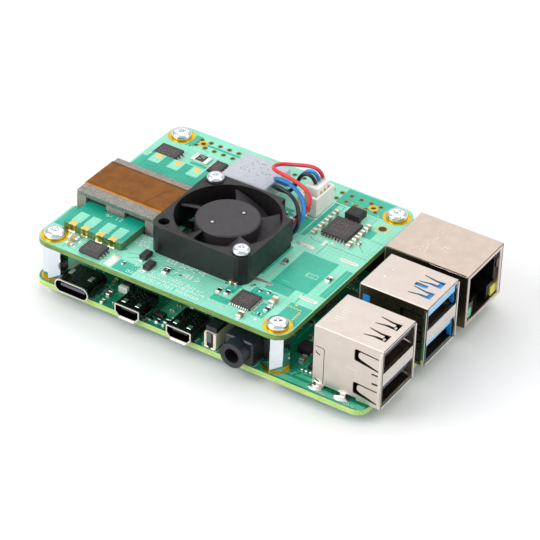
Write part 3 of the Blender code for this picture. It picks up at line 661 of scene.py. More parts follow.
def cut_sheet(outline, holes, thickness, spot):
    """The mesh of a stamped sheet with holes; spot turns (u, v, depth) into board millimetres."""
    curve = bpy.data.curves.new("sheet", "CURVE")
    curve.dimensions = "2D"
    curve.fill_mode = "BOTH"
    curve.extrude = thickness / 2
    for loop in (outline, *holes):
        spline = curve.splines.new("POLY")
        spline.points.add(len(loop) - 1)
        for point, (u, v) in zip(spline.points, loop):
            point.co = (u, v, 0, 1)
        spline.use_cyclic_u = True
    holder = bpy.data.objects.new("sheet", curve)
    bpy.context.scene.collection.objects.link(holder)
    bpy.context.view_layer.update()
    graph = bpy.context.evaluated_depsgraph_get()
    data = bpy.data.meshes.new_from_object(holder.evaluated_get(graph), depsgraph=graph)
    bpy.data.objects.remove(holder)
    bpy.data.curves.remove(curve)
    for vertex in data.vertices:
        vertex.co = spot(vertex.co.x, vertex.co.y, vertex.co.z + thickness / 2)
    return data


def add_sheet(solids, outline, holes, thickness, spot, material):
    """Adds a cut sheet to a set of solids."""
    data = cut_sheet(outline, holes, thickness, spot)
    slot = solids.index(material)
    first = len(solids.mesh.faces)
    solids.mesh.from_mesh(data)
    solids.mesh.faces.ensure_lookup_table()
    for face in solids.mesh.faces[first:]:
        face.material_index = slot
        face.smooth = False
    bpy.data.meshes.remove(data)


# ---------------------------------------------------------------- repeated parts

def repeat_tree(name, material):
    """Sets one part on every point of a mesh, turned and sized by the points' own numbers."""
    tree = bpy.data.node_groups.new(name, "GeometryNodeTree")
    face = tree.interface
    face.new_socket("Geometry", in_out="INPUT", socket_type="NodeSocketGeometry")
    part = face.new_socket("Part", in_out="INPUT", socket_type="NodeSocketObject")
    skew = face.new_socket("Skew", in_out="INPUT", socket_type="NodeSocketFloat")
    seed = face.new_socket("Seed", in_out="INPUT", socket_type="NodeSocketInt")
    face.new_socket("Geometry", in_out="OUTPUT", socket_type="NodeSocketGeometry")
    nodes, links = tree.nodes, tree.links
    source = nodes.new("NodeGroupInput")
    result = nodes.new("NodeGroupOutput")
    info = nodes.new("GeometryNodeObjectInfo")
    turn = nodes.new("GeometryNodeInputNamedAttribute")
    turn.data_type = "FLOAT"
    turn.inputs["Name"].default_value = "turn"
    size = nodes.new("GeometryNodeInputNamedAttribute")
    size.data_type = "FLOAT_VECTOR"
    size.inputs["Name"].default_value = "size"
    chance = nodes.new("FunctionNodeRandomValue")
    chance.data_type = "FLOAT"
    chance.inputs[2].default_value = -1
    chance.inputs[3].default_value = 1
    sway = nodes.new("ShaderNodeMath")
    sway.operation = "MULTIPLY_ADD"
    spin = nodes.new("ShaderNodeCombineXYZ")
    scatter = nodes.new("GeometryNodeInstanceOnPoints")
    real = nodes.new("GeometryNodeRealizeInstances")
    coat = nodes.new("GeometryNodeSetMaterial")
    coat.inputs["Material"].default_value = material
    links.new(source.outputs["Part"], info.inputs["Object"])
    links.new(source.outputs["Seed"], chance.inputs["Seed"])
    links.new(chance.outputs[1], sway.inputs[0])
    links.new(source.outputs["Skew"], sway.inputs[1])
    links.new(turn.outputs["Attribute"], sway.inputs[2])
    links.new(sway.outputs[0], spin.inputs["Z"])
    links.new(source.outputs["Geometry"], scatter.inputs["Points"])
    links.new(info.outputs["Geometry"], scatter.inputs["Instance"])
    links.new(spin.outputs["Vector"], scatter.inputs["Rotation"])
    links.new(size.outputs["Attribute"], scatter.inputs["Scale"])
    links.new(scatter.outputs["Instances"], real.inputs["Geometry"])
    links.new(real.outputs["Geometry"], coat.inputs["Geometry"])
    links.new(coat.outputs["Geometry"], result.inputs["Geometry"])
    return tree, part.identifier, skew.identifier, seed.identifier


def repeated(name, part, spots, material, skew=0.0, seed=1, body="computer", slot=None):
    """One piece made of copies of a part. A spot is (x, y, z, degrees, (size x, y, z)) in board mm."""
    template_data = bpy.data.meshes.new(f"{name}.part")
    bmesh.ops.recalc_face_normals(part.mesh, faces=part.mesh.faces)
    for vertex in part.mesh.verts:
        vertex.co = vertex.co * MM
    part.mesh.to_mesh(template_data)
    part.mesh.free()
    template = bpy.data.objects.new(f"{name}.part", template_data)
    bpy.context.scene.collection.objects.link(template)
    points = bpy.data.meshes.new(f"{name}.spots")
    points.from_pydata([place(*spot[:3]) for spot in spots], [], [])
    turns = points.attributes.new("turn", "FLOAT", "POINT")
    turns.data.foreach_set("value", [math.radians(spot[3]) for spot in spots])
    sizes = points.attributes.new("size", "FLOAT_VECTOR", "POINT")
    sizes.data.foreach_set("vector", [number for spot in spots for number in spot[4]])
    holder = bpy.data.objects.new(f"{name}.spots", points)
    bpy.context.scene.collection.objects.link(holder)
    tree, part_id, skew_id, seed_id = repeat_tree(name, material)
    modifier = holder.modifiers.new("repeat", "NODES")
    modifier.node_group = tree
    modifier[part_id] = template
    modifier[skew_id] = math.radians(skew)
    modifier[seed_id] = seed
    bpy.context.view_layer.update()
    graph = bpy.context.evaluated_depsgraph_get()
    data = bpy.data.meshes.new_from_object(holder.evaluated_get(graph), depsgraph=graph)
    bpy.data.objects.remove(holder)
    bpy.data.objects.remove(template)
    for extra in ("turn", "size"):
        if extra in data.attributes:
            data.attributes.remove(data.attributes[extra])
    made = bpy.data.objects.new(name, data)
    bpy.context.scene.collection.objects.link(made)
    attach(made, body)
    return made


def unit_block(bevel=0.0, foot=0.0, width=1.0, depth=1.0, height=1.0):
    part = Solids()
    part.block((-width / 2, -depth / 2, 0), (width / 2, depth / 2, height), None, bevel, foot)
    return part


# ---------------------------------------------------------------- fan leads

LEAD_DIAMETER = 0.9
LEAD_ROWS = (44.8, 46.3, 47.8)
LEAD_ROUTES = {
    "lead_red": ((40.3, 29.3, 11.25), (43.3, 32.3, 11.25), (44.5, 34.2, 11.4), (45.3, 36.2, 12.4),
                 (46.3, 37.9, 14.0), (46.8, 39.2, 15.7), (46.2, 40.1, 17.2), (44.5, 40.6, 18.2),
                 (42.4, 41.1, 18.6), (40.0, 41.7, 18.6), (38.0, 42.2, 18.5), (36.2, 42.7, 18.3),
                 (34.4, 43.4, 18.1), (33.7, 45.1, 17.8), (34.4, 46.8, 17.6), (36.2, 47.6, 17.7),
                 (38.4, 47.85, 18.2), (40.4, 47.85, 18.8), (42.0, 47.8, 19.15), (43.4, 47.8, 19.0),
                 (44.4, 47.8, 18.4), (44.7, 47.8, 17.3)),
    "lead_black": ((41.9, 28.1, 11.25), (44.9, 31.1, 11.25), (46.4, 32.2, 11.4), (47.3, 33.2, 12.6),
                   (46.95, 34.4, 14.0), (45.9, 35.9, 14.9), (44.6, 37.4, 15.5), (42.6, 39.0, 15.8),
                   (40.4, 39.9, 16.1), (37.9, 40.3, 16.2), (36.05, 40.8, 15.7), (35.4, 42.0, 14.6),
                   (36.05, 43.2, 13.4), (37.75, 43.8, 12.9), (39.1, 44.3, 13.9), (39.9, 44.6, 15.6),
                   (40.5, 44.75, 17.4), (41.3, 44.8, 18.55), (42.7, 44.8, 19.15), (44.1, 44.8, 18.65),
                   (44.7, 44.8, 17.3)),
    "lead_blue": ((41.1, 28.7, 11.25), (44.1, 31.7, 11.25), (45.5, 33.1, 11.5), (46.6, 34.7, 12.7),
                  (47.0, 36.2, 14.1), (46.4, 37.4, 15.4), (45.2, 38.8, 16.2), (43.6, 40.0, 16.7),
                  (41.4, 41.1, 17.0), (39.0, 41.8, 17.2), (37.2, 41.9, 17.1), (35.55, 42.4, 16.6),
                  (34.95, 43.6, 15.4), (35.65, 44.8, 14.2), (37.2, 45.4, 13.7), (38.7, 45.8, 14.4),
                  (39.8, 46.1, 16.1), (40.5, 46.25, 17.5), (41.3, 46.3, 18.55), (42.7, 46.3, 19.15),
                  (44.1, 46.3, 18.65), (44.7, 46.3, 17.3)),
}


def even_steps(dense, spacing):
    """Points at even steps along a chain of points."""
    lengths = [0.0]
    for before, after in zip(dense, dense[1:]):
        lengths.append(lengths[-1] + (after - before).length)
    count = round(lengths[-1] / spacing)
    route, spot = [], 0
    for step in range(count + 1):
        target = lengths[-1] * step / count
        while spot < len(lengths) - 2 and lengths[spot + 1] < target:
            spot += 1
        share = (target - lengths[spot]) / (lengths[spot + 1] - lengths[spot])
        route.append(dense[spot].lerp(dense[spot + 1], share))
    return route


def smooth_route(points):
    """Points every 0.3 mm on a smooth curve through the route's own points, its bends eased."""
    points = [Vector(point) for point in points]
    padded = [2 * points[0] - points[1], *points, 2 * points[-1] - points[-2]]
    dense = []
    for a, b, c, d in zip(padded, padded[1:], padded[2:], padded[3:]):
        for step in range(20):
            t = step / 20
            dense.append(0.5 * (2 * b + (c - a) * t + (2 * a - 5 * b + 4 * c - d) * t ** 2
                                + (3 * b - a - 3 * c + d) * t ** 3))
    dense.append(points[-1])
    route = even_steps(dense, 0.3)
    for _ in range(16):
        route[2:-2] = [a / 4 + b / 2 + c / 4 for a, b, c in zip(route[1:-3], route[2:-2], route[3:-1])]
    return route


def make_leads():
    for name, material in (("lead_red", RED), ("lead_black", LEAD_BLACK), ("lead_blue", LEAD_BLUE)):
        route = smooth_route(LEAD_ROUTES[name])
        solids = Solids()
        solids.tube(route, LEAD_DIAMETER / 2, material, steps=14)
        lead = solids.piece(f"{name}.sleeve", slot=slot_of(name), replaces=(name,))


make_leads()


# ---------------------------------------------------------------- printed marks

def marks(solids, x, y, length, height, stroke, base, material, seed, turn=0.0, gap=0.35):
    """A row of plain ticks, dots and dashes, which stand where a printed line was and spell nothing."""
    pick = random.Random(seed)
    angle = math.radians(turn)
    along = Vector((math.cos(angle), math.sin(angle)))
    up = Vector((-math.sin(angle), math.cos(angle)))
    start = Vector((x, y))
    done = 0.0
    while done < length - height * 0.5:
        width = height * pick.choice((0.28, 0.5, 0.62))
        if done + width > length:
            break
        shapes = pick.choice((
            (((0, 0), (0, 1)),),
            (((0, 0.1), (1, 0.1)), ((0, 0.9), (1, 0.9))),
            (((0, 0), (1, 0.5)), ((0, 1), (0.4, 0.8))),
            (((0, 0.5), (1, 0.5)), ((1, 0.8), (1, 1))),
            (((0, 0.2), (0.5, 0.9)), ((1, 0), (1, 0.3))),
            (((0, 0), (0, 0.4)), ((0.5, 0.6), (1, 1))),
        ))
        for (u0, v0), (u1, v1) in shapes:
            a = start + along * (done + u0 * width) + up * (v0 * height)
            b = start + along * (done + u1 * width) + up * (v1 * height)
            solids.line([(a.x, a.y), (b.x, b.y)], stroke, base, base + 0.018, material)
        done += width + height * gap
        if pick.random() < 0.14:
            done += height * 0.55


# ---------------------------------------------------------------- upper board

# Levels of the layers laid on the upper board, from just under its face to the plated pads.
U_SINK = UPPER - 0.02
U_BARE = UPPER + 0.014
U_POUR = UPPER + 0.026
U_INK = UPPER + 0.034
U_PAD = UPPER + 0.05
HOLES = ((3.5, 3.5), (61.5, 3.5), (3.5, 52.5), (61.5, 52.5))
HEADER_X = [8.37 + 2.54 * i for i in range(20)]
HEADER_Y = (51.23, 53.77)


def make_upper_mask():
    """Bare glass areas, copper islands and etched gaps under the upper board's mask, and a strip of painted
    shadow along the winding board's front edge.
    """
    bare = Solids()
    bare_areas = (
        # The third area, a teal strip along the winding board's front edge, is painted shadow.
        (0.5, 7.2, 3.3, 15.2), (20.7, 0.5, 25.9, 4.3), (3.2, 7.4, 19.6, 8.4),
        (51.7, 16.4, 60.6, 29.6), (51.7, 13.3, 57.8, 16.5), (59.4, 4.9, 64.7, 12.2),
        (48.0, 17.2, 48.9, 29.6), (63.0, 17.3, 64.7, 28.6), (58.5, 41.5, 61.1, 44.8),
        (47.1, 49.9, 59.4, 56.1), (0.5, 32.6, 2.6, 41.0), (8.0, 52.1, 24.0, 52.9),
        (37.4, 34.6, 46.9, 41.7), (45.2, 7.6, 47.6, 12.2), (50.2, 9.6, 55.8, 12.6),
        (54.4, 3.6, 57.4, 8.6), (44.2, 3.4, 48.6, 5.4), (20.2, 42.2, 21.6, 51.0),
        (11.4, 44.0, 15.8, 45.0), (47.4, 34.6, 48.5, 49.4), (6.4, 50.2, 8.2, 54.8),
    )
    for x0, y0, x1, y1 in bare_areas:
        bare.prism(rectangle(x0, y0, x1, y1), U_SINK, U_BARE, MASK_TEAL)
    gaps = (
        ((49.0, 36.4), (50.6, 34.4), (64.6, 34.4)), ((54.3, 30.2), (54.3, 35.0)),
        ((47.0, 49.2), (50.0, 49.2), (50.0, 47.4), (49.0, 46.4), (49.0, 36.4)),
        ((57.4, 45.4), (58.4, 46.6), (58.4, 49.2)), ((61.4, 41.4), (64.6, 41.4)),
        ((20.4, 7.0), (25.2, 8.8)), ((26.4, 9.4), (23.4, 6.8), (21.4, 5.6)),
        ((27.4, 9.0), (24.4, 6.2)), ((29.4, 7.6), (33.6, 7.6), (33.6, 5.4)), ((33.6, 5.4), (29.8, 5.4)),
        ((7.4, 6.4), (10.6, 6.4), (10.6, 1.0)), ((12.4, 47.8), (12.4, 50.4), (10.6, 50.4)),
        ((16.4, 49.4), (16.4, 47.9), (20.2, 47.9)), ((5.9, 38.4), (5.9, 41.4)),
        ((62.4, 36.4), (60.4, 38.2), (58.8, 38.2)), ((43.2, 13.6), (43.2, 11.4)),
        ((34.0, 9.6), (43.6, 9.6)), ((7.4, 0.8), (7.4, 2.8)), ((36.4, 2.4), (36.4, 1.0)),
    )
    for route in gaps:
        bare.line(route, 0.16, U_SINK, U_BARE, MASK_TEAL)
    for x in (6.4, 7.4, 17.6):
        bare.prism(circle(x, 50.0 if x < 10 else 7.0, 0.3, 10), U_SINK, U_BARE, MASK_TEAL)
    bare.piece("upper_mask_bare", slot="mask_green")

    pour = Solids()
    for x0, y0, x1, y1 in ((59.9, 12.5, 60.3, 16.3), (53.2, 17.6, 55.2, 18.1)):
        pour.prism(rectangle(x0, y0, x1, y1), U_SINK, U_POUR, MASK_SLOT)
    traces = [
        ((24.6, 0.8), (24.9, 2.6), (24.2, 3.8), (23.2, 4.2)), ((25.3, 0.8), (25.6, 2.8), (24.8, 4.0)),
        ((47.4, 50.4), (49.2, 51.8), (54.2, 51.8), (56.0, 53.6)), ((48.6, 55.6), (57.0, 55.6)),
        ((52.4, 50.4), (58.6, 50.4)), ((46.0, 11.6), (47.0, 10.6), (48.6, 10.2)),
        ((50.6, 12.2), (50.9, 10.2)), ((51.9, 12.2), (51.7, 10.2)), ((53.1, 12.2), (52.5, 10.2)),
        ((54.6, 8.2), (55.8, 8.8), (56.8, 8.8)), ((54.6, 5.4), (56.0, 5.0)), ((54.6, 7.2), (56.8, 7.2)),
        ((44.4, 4.4), (46.4, 4.4), (48.2, 5.2)), ((44.4, 3.8), (48.3, 3.8)),
        ((48.5, 18.0), (48.5, 29.0)), ((21.0, 42.4), (21.0, 50.6)), ((63.8, 17.6), (63.8, 28.2)),
        ((39.6, 35.4), (41.4, 37.2), (41.4, 40.8)), ((42.8, 36.8), (45.6, 39.8)), ((0.9, 8.0), (1.2, 15.0)),
    ]
    for route in traces:
        pour.line(route, 0.22, U_SINK, U_POUR, MASK_SLOT)
    for number in range(5):
        x = 52.6 + number * 1.7
        pour.line(((x, 25.6), (x + 0.6, 26.2)), 0.12, U_SINK, U_POUR, MASK_SLOT)
    pour.piece("upper_mask_traces", slot="mask_green")


def make_upper_rings():
    """Plated rings round the four holes, the tooling holes and every header pin."""
    rings = Solids()
    for x, y in HOLES:
        rings.ring(x, y, 1.4, 3.2, U_SINK, U_PAD, GOLD_RING, 48)
        rings.ring(x, y, 1.4, 3.2, UPPER - 1.35, UPPER - 1.28, GOLD_RING, 48)
    rings.piece("upper_hole_rings", slot="brass")

    pins = Solids()
    pins.ring(0, 0, 0.4, 0.66, -0.02, 0.04, None, 16)
    spots = [(x, y, UPPER, 0, (1, 1, 1)) for x in HEADER_X for y in HEADER_Y
             if not (22.6 < x < 35.0 and y < 52.0)]
    repeated("upper_pin_rings", pins, spots, PIN_RING, slot="brass")

    wells = Solids()
    wells.prism(circle(0, 0, 0.42, 14), -0.02, 0.022, None)
    repeated("upper_pin_wells", wells, spots, HOLE_DARK, slot="brass")

    tooling = Solids()
    for x, y in ((9.64, 52.5), (55.4, 52.5)):
        tooling.ring(x, y, 0.6, 1.12, U_SINK, U_PAD, GOLD_RING, 24)
        tooling.prism(circle(x, y, 0.62, 20), U_SINK, UPPER + 0.024, HOLE_DARK)
    tooling.ring(61.3, 46.6, 0.95, 1.15, U_SINK, U_PAD, GOLD_RING, 24)
    tooling.prism(circle(61.3, 46.6, 0.96, 20), U_SINK, UPPER + 0.024, HOLE_DARK)
    tooling.piece("upper_tooling_rings", slot="brass")

    vias = Solids()
    vias.ring(0, 0, 0.1, 0.22, -0.02, 0.04, None, 8)
    holes = [(61.3 + 1.75 * math.cos(math.radians(a)), 46.6 + 1.75 * math.sin(math.radians(a)))
             for a in range(15, 375, 30)]
    pick = random.Random(5)
    for x, y, width, depth, count in ((46.6, 1.2, 4.0, 7.0, 5), (55.0, 2.2, 3.6, 9.8, 6),
                                      (49.4, 34.8, 10.6, 3.2, 5), (48.4, 49.9, 10.6, 1.6, 5)):
        holes += [(x + width * pick.random(), y + depth * pick.random()) for _ in range(count)]
    repeated("upper_vias", vias, [(x, y, UPPER, 0, (1, 1, 1)) for x, y in holes], GOLD, slot="brass")


def make_upper_pads():
    """Slots, test strips and bare pads in tin, and a few gold marks."""
    pads = Solids()
    for x, y in ((50.6, 31.6), (61.9, 31.6), (50.6, 15.0), (61.9, 14.9)):
        pads.prism(rounded(x - 2.3, y - 0.5, x + 2.3, y + 0.5, 0.45), U_SINK, U_PAD, TIN, 0.01)
        # A darker strip in each slot stands for its groove: painted shade.
        pads.prism(rounded(x - 1.9, y - 0.2, x + 1.5, y + 0.16, 0.16), UPPER, U_PAD + 0.012, NICKEL_DULL)
    pads.prism(rectangle(18.5, 0.7, 20.4, 5.1), U_SINK, U_PAD, TIN, 0.01)
    for x, y, length, width in ((45.9, 2.5, 0.8, 0.5), (48.4, 2.3, 0.6, 0.9), (44.3, 9.9, 0.7, 0.7),
                                (47.7, 12.2, 0.7, 0.5), (49.2, 12.3, 0.7, 0.5), (56.4, 2.6, 0.8, 0.6),
                                (53.6, 35.4, 1.0, 0.6), (53.6, 34.4, 0.7, 1.6), (55.0, 35.6, 0.6, 0.6),
                                (12.2, 5.9, 0.8, 0.8), (6.6, 7.0, 1.6, 0.7), (10.0, 7.0, 1.4, 0.7),
                                (13.8, 7.0, 1.4, 0.7), (17.2, 7.0, 1.4, 0.7), (1.9, 42.6, 0.9, 0.5),
                                (42.6, 38.8, 1.4, 0.8), (41.2, 37.4, 0.8, 1.2), (44.2, 37.6, 0.9, 0.5),
                                (39.5, 38.6, 0.9, 0.6), (45.4, 40.9, 1.8, 0.7), (42.0, 40.6, 1.0, 0.6)):
        pads.prism(rectangle(x - length / 2, y - width / 2, x + length / 2, y + width / 2),
                   U_SINK, U_PAD, TIN)
    pads.piece("upper_pads", slot="nickel")

    gold = Solids()
    across = [(59.6 + 0.42 * i, 10.6 + (0.3 if i % 2 else -0.1) - 0.02 * i) for i in range(9)]
    down = [(62.9 + (0.3 if i % 2 else -0.2), 9.9 - 0.38 * i) for i in range(10)]
    for zigzag in (across, down):
        gold.line(zigzag, 0.16, U_SINK, U_PAD, GOLD)
    for x, y in ((45.6, 10.7), (45.2, 5.2), (49.6, 12.9), (60.9, 11.8), (34.6, 6.6)):
        gold.prism(circle(x, y, 0.34, 14), U_SINK, U_PAD, GOLD, 0.01)
    gold.piece("upper_gold_marks", slot="brass")


def make_upper_legend():
    """Printed ink on the upper board."""
    ink = Solids()
    marks(ink, 29.2, 9.0, 11.6, 1.45, 0.3, U_INK, SILK, 3)
    marks(ink, 33.2, 6.5, 6.6, 1.45, 0.3, U_INK, SILK, 4)
    marks(ink, 24.4, 3.9, 14.6, 0.85, 0.19, U_INK, SILK, 5)
    marks(ink, 26.6, 2.5, 18.6, 0.85, 0.19, U_INK, SILK, 6)
    marks(ink, 24.0, 1.1, 19.6, 0.85, 0.19, U_INK, SILK, 7)
    marks(ink, 38.8, 3.6, 3.8, 0.85, 0.19, U_INK, SILK, 27)
    for x0, x1, y in ((19.4, 23.2, 11.3), (19.4, 23.2, 14.2)):
        ink.line(((x0, y), (x1, y)), 0.12, U_SINK, U_INK + 0.018, SILK)
    pick = random.Random(8)
    for _ in range(30):
        x, y = 19.6 + pick.random() * 3.1, 10.9 + pick.random() * 3.4
        dx, dy = pick.choice(((0.9, 0), (0.55, 0.55), (0, 0.8), (0.5, -0.5)))
        ink.line(((x, y), (x + dx, y + dy)), 0.13, U_SINK, U_INK + 0.018, SILK)
    for x, y, length, width in ((31.3, 6.0, 5.0, 3.6), (27.4, 5.3, 3.2, 4.6), (14.3, 3.1, 9.0, 5.4)):
        for side in (-1, 1):
            ink.line(((x + side * length / 2, y - width / 2), (x + side * length / 2, y - width / 2 + 0.7)),
                     0.12, U_SINK, U_INK, SILK_SOFT)
    for outline in (rectangle(54.5, 33.95, 58.7, 35.25), rectangle(56.7, 21.95, 59.3, 23.25),
                    rectangle(15.9, 42.4, 21.0, 47.9)):
        ink.line((*outline, outline[0]), 0.12, U_SINK, U_INK, SILK_SOFT)
    marks(ink, 56.9, 22.2, 2.2, 0.7, 0.12, U_INK, SILK_SOFT, 11)
    marks(ink, 54.8, 34.3, 3.5, 0.7, 0.12, U_INK, SILK_SOFT, 12)
    marks(ink, 40.2, 49.6, 3.0, 0.9, 0.15, U_INK, SILK, 13, 20)
    ink.line(((41.5, 41.3), (47.2, 41.3), (47.2, 49.8)), 0.16, U_SINK, U_INK, SILK)
    ink.line(((7.6, 49.5), (59.2, 49.5)), 0.1, U_SINK, U_INK - 0.004, SILK_SOFT)
    ink.line(((48.4, 29.9), (48.4, 30.4), (49.0, 30.4)), 0.12, U_SINK, U_INK, SILK)
    ink.piece("upper_legend", slot="mask_green")


make_upper_mask()
make_upper_rings()
make_upper_pads()
make_upper_legend()


# ---------------------------------------------------------------- chips and small parts

def gull_leg(reach=1.0, width=0.32, height=0.5, thick=0.16):
    """A chip leg that comes out level, turns down and ends in a flat foot; it points along +X."""
    leg = Solids()
    profile = [(0, height), (0, height - thick), (reach * 0.36, height - thick), (reach * 0.56, 0.0),
               (reach, 0.0), (reach, thick), (reach * 0.66, thick), (reach * 0.46, height)]
    leg.strip([(u, v) for u, v in profile], -width / 2, width / 2, "y", None)
    return leg


def leg_rows(x0, y0, x1, y1, count, sides, base, inset=0.02):
    """Spots for the legs along the named sides of a chip."""
    spots = []
    for side in sides:
        for i in range(count):
            share = (i + 0.5) / count
            if side in "lr":
                y = y0 + (y1 - y0) * share
                spots.append((x1 - inset if side == "r" else x0 + inset, y, base,
                              0 if side == "r" else 180, (1, 1, 1)))
            else:
                x = x0 + (x1 - x0) * share
                spots.append((x, y1 - inset if side == "b" else y0 + inset, base,
                              90 if side == "b" else -90, (1, 1, 1)))
    return spots


def chip_body(solids, x0, y0, x1, y1, base, height, material=PACKAGE, dimple=True):
    """A moulded package with drafted sides, raised off the board, and its first-leg dimple."""
    middle = base + height * 0.5
    draft = 0.07
    loops = []
    for amount, level in ((draft + 0.03, base + 0.08), (0, middle - 0.05), (0, middle + 0.05),
                          (draft, base + height - 0.05), (draft + 0.06, base + height)):
        ring = inset_outline(rectangle(x0, y0, x1, y1), amount) if amount else rectangle(x0, y0, x1, y1)
        loops.append([(x, y, level) for x, y in ring])
    solids.skin(loops, material)
    if dimple:
        top = base + height
        solids.ring(x0 + 0.75, y0 + 0.75, 0.22, 0.32, top - 0.01, top + 0.012, material, 14)


def chip_legend(solids, x0, y0, x1, y1, top, rows, seed):
    """Laser marks on a package, as short strokes that spell nothing."""
    height = (y1 - y0) * 0.6 / rows
    for row in range(rows):
        marks(solids, x0 + (x1 - x0) * 0.2, y0 + (y1 - y0) * (0.22 + 0.6 * row / rows), (x1 - x0) * 0.62,
              height * 0.62, min(0.12, height * 0.16), top - 0.012, DIE_MARK, seed + row)


def make_upper_chips():
    legs = []
    wide_legs = []
    bodies = Solids()
    chip_body(bodies, 11.8, 1.0, 16.9, 5.2, UPPER, 1.25)
    legs += leg_rows(11.8, 1.1, 16.9, 5.1, 4, "lr", UPPER)
    bodies.piece("sync_chip", slot="package_black")
    timer = Solids()
    chip_body(timer, 16.9, 43.0, 19.9, 47.4, UPPER, 1.1)
    legs += leg_rows(16.9, 43.2, 19.9, 47.2, 4, "lr", UPPER)
    timer.piece("sense_chip", slot="package_black")
    for node, count, sides in (("controller_chip", 9, "lrfb"), ("switch_transistor", 4, "lr"),
                               ("converter_chip", 8, "fb")):
        low, high = node_box(node)
        solids = Solids()
        chip_body(solids, low[0], low[1], high[0], high[1], UPPER, high[2] - UPPER)
        solids.piece(f"{node}.package", slot=slot_of(node), replaces=(node,))
        spots = leg_rows(low[0] + 0.1, low[1] + 0.1, high[0] - 0.1, high[1] - 0.1, count, sides, UPPER)
        if node == "controller_chip":
            wide_legs += spots
        else:
            legs += spots
    repeated("chip_legs", gull_leg(0.95, 0.4, 0.62), legs, TIN, slot="nickel")
    repeated("controller_legs", gull_leg(0.8, 0.24, 0.5, 0.13), wide_legs, TIN, slot="nickel")

    legend = Solids()
    for node, rows, seed in (("controller_chip", 4, 31), ("switch_transistor", 3, 41),
                             ("converter_chip", 3, 51)):
        low, high = node_box(node)
        chip_legend(legend, low[0], low[1], high[0], high[1], high[2] + 0.004, rows, seed)
    chip_legend(legend, 11.8, 1.0, 16.9, 5.2, UPPER + 1.254, 3, 61)
    chip_legend(legend, 16.9, 43.0, 19.9, 47.4, UPPER + 1.104, 3, 71)
    legend.piece("chip_legends", slot="package_black")

    blocks = Solids()
    for x, y in ((24.6, 8.1), (27.4, 5.4)):
        blocks.block((x - 0.85, y - 1.35, UPPER + 0.06), (x + 0.85, y + 1.35, UPPER + 1.15),
                     PACKAGE_DARK, 0.16)
        for end_y in (y - 1.75, y + 1.75):
            blocks.block((x - 0.5, end_y - 0.5, UPPER), (x + 0.5, end_y + 0.5, UPPER + 0.3), TIN, 0.06)
    blocks.block((52.3, 45.2, UPPER + 0.15), (56.1, 48.4, UPPER + 2.2), PACKAGE_DARK, 0.42, 0.15)
    for x in (52.1, 55.1):
        blocks.block((x, 45.7, UPPER), (x + 1.2, 47.9, UPPER + 0.5), TIN, 0.08)
    for i in range(3):
        blocks.block((52.6 + i * 1.2, 44.7, UPPER), (53.2 + i * 1.2, 45.4, UPPER + 0.35), TIN, 0.05)
    blocks.piece("diode_blocks", slot="package_black")

    sense = Solids()
    sense.block((10.9, 45.4, UPPER), (15.1, 48.0, UPPER + 0.42), WHITE, 0.05)
    sense.block((11.9, 45.5, UPPER + 0.38), (14.1, 47.9, UPPER + 0.56), RESISTOR, 0.04)
    for x0, x1, y in ((12.3, 13.0, 46.2), (12.9, 13.7, 46.8), (12.3, 13.6, 47.3)):
        sense.line(((x0, y), (x1, y + 0.1)), 0.13, UPPER + 0.55, UPPER + 0.575, RESISTOR_MARK)
    sense.block((10.8, 45.35, UPPER), (11.4, 48.05, UPPER + 0.5), TIN, 0.06)
    sense.block((14.6, 45.35, UPPER), (15.2, 48.05, UPPER + 0.5), TIN, 0.06)
    sense.piece("sense_resistor", slot="white_plastic")


def small_parts(prefix, caps, brown, resistors):
    """Chip capacitors and resistors: a body, two tinned ends and the solder at each end."""
    for word, spots, height, bevel, material, seed, slot in (
            ("capacitor", caps, 0.9, 0.08, CAP_BEIGE, 2, "cream_plastic"),
            ("brown_capacitor", brown, 0.9, 0.08, CAP_BROWN, 3, "brass"),
            ("resistor", resistors, 0.5, 0.06, RESISTOR, 4, "package_black")):
        repeated(f"{prefix}_{word}s", unit_block(bevel, 0, 1.1, 0.96, height), spots, material, skew=1.5,
                 seed=seed, slot=slot)
        ends = Solids()
        end_top, end_bevel = (0.53, 0.07) if word == "resistor" else (0.92, 0.1)
        for side in (-0.78, 0.78):
            ends.block((side - 0.26, -0.52, 0), (side + 0.26, 0.52, end_top), None, end_bevel)
        repeated(f"{prefix}_{word}_ends", ends, spots, TIN, skew=1.5, seed=seed, slot="nickel")
    solder = Solids()
    for side in (-1, 1):
        profile = [(side * 1.0, 0), (side * 1.36, 0), (side * 1.1, 0.14), (side * 1.0, 0.42)]
        solder.strip(profile[::side], -0.46, 0.46, "y", None)
    repeated(f"{prefix}_solder", solder, caps + brown + resistors, SOLDER, seed=2, slot="nickel")


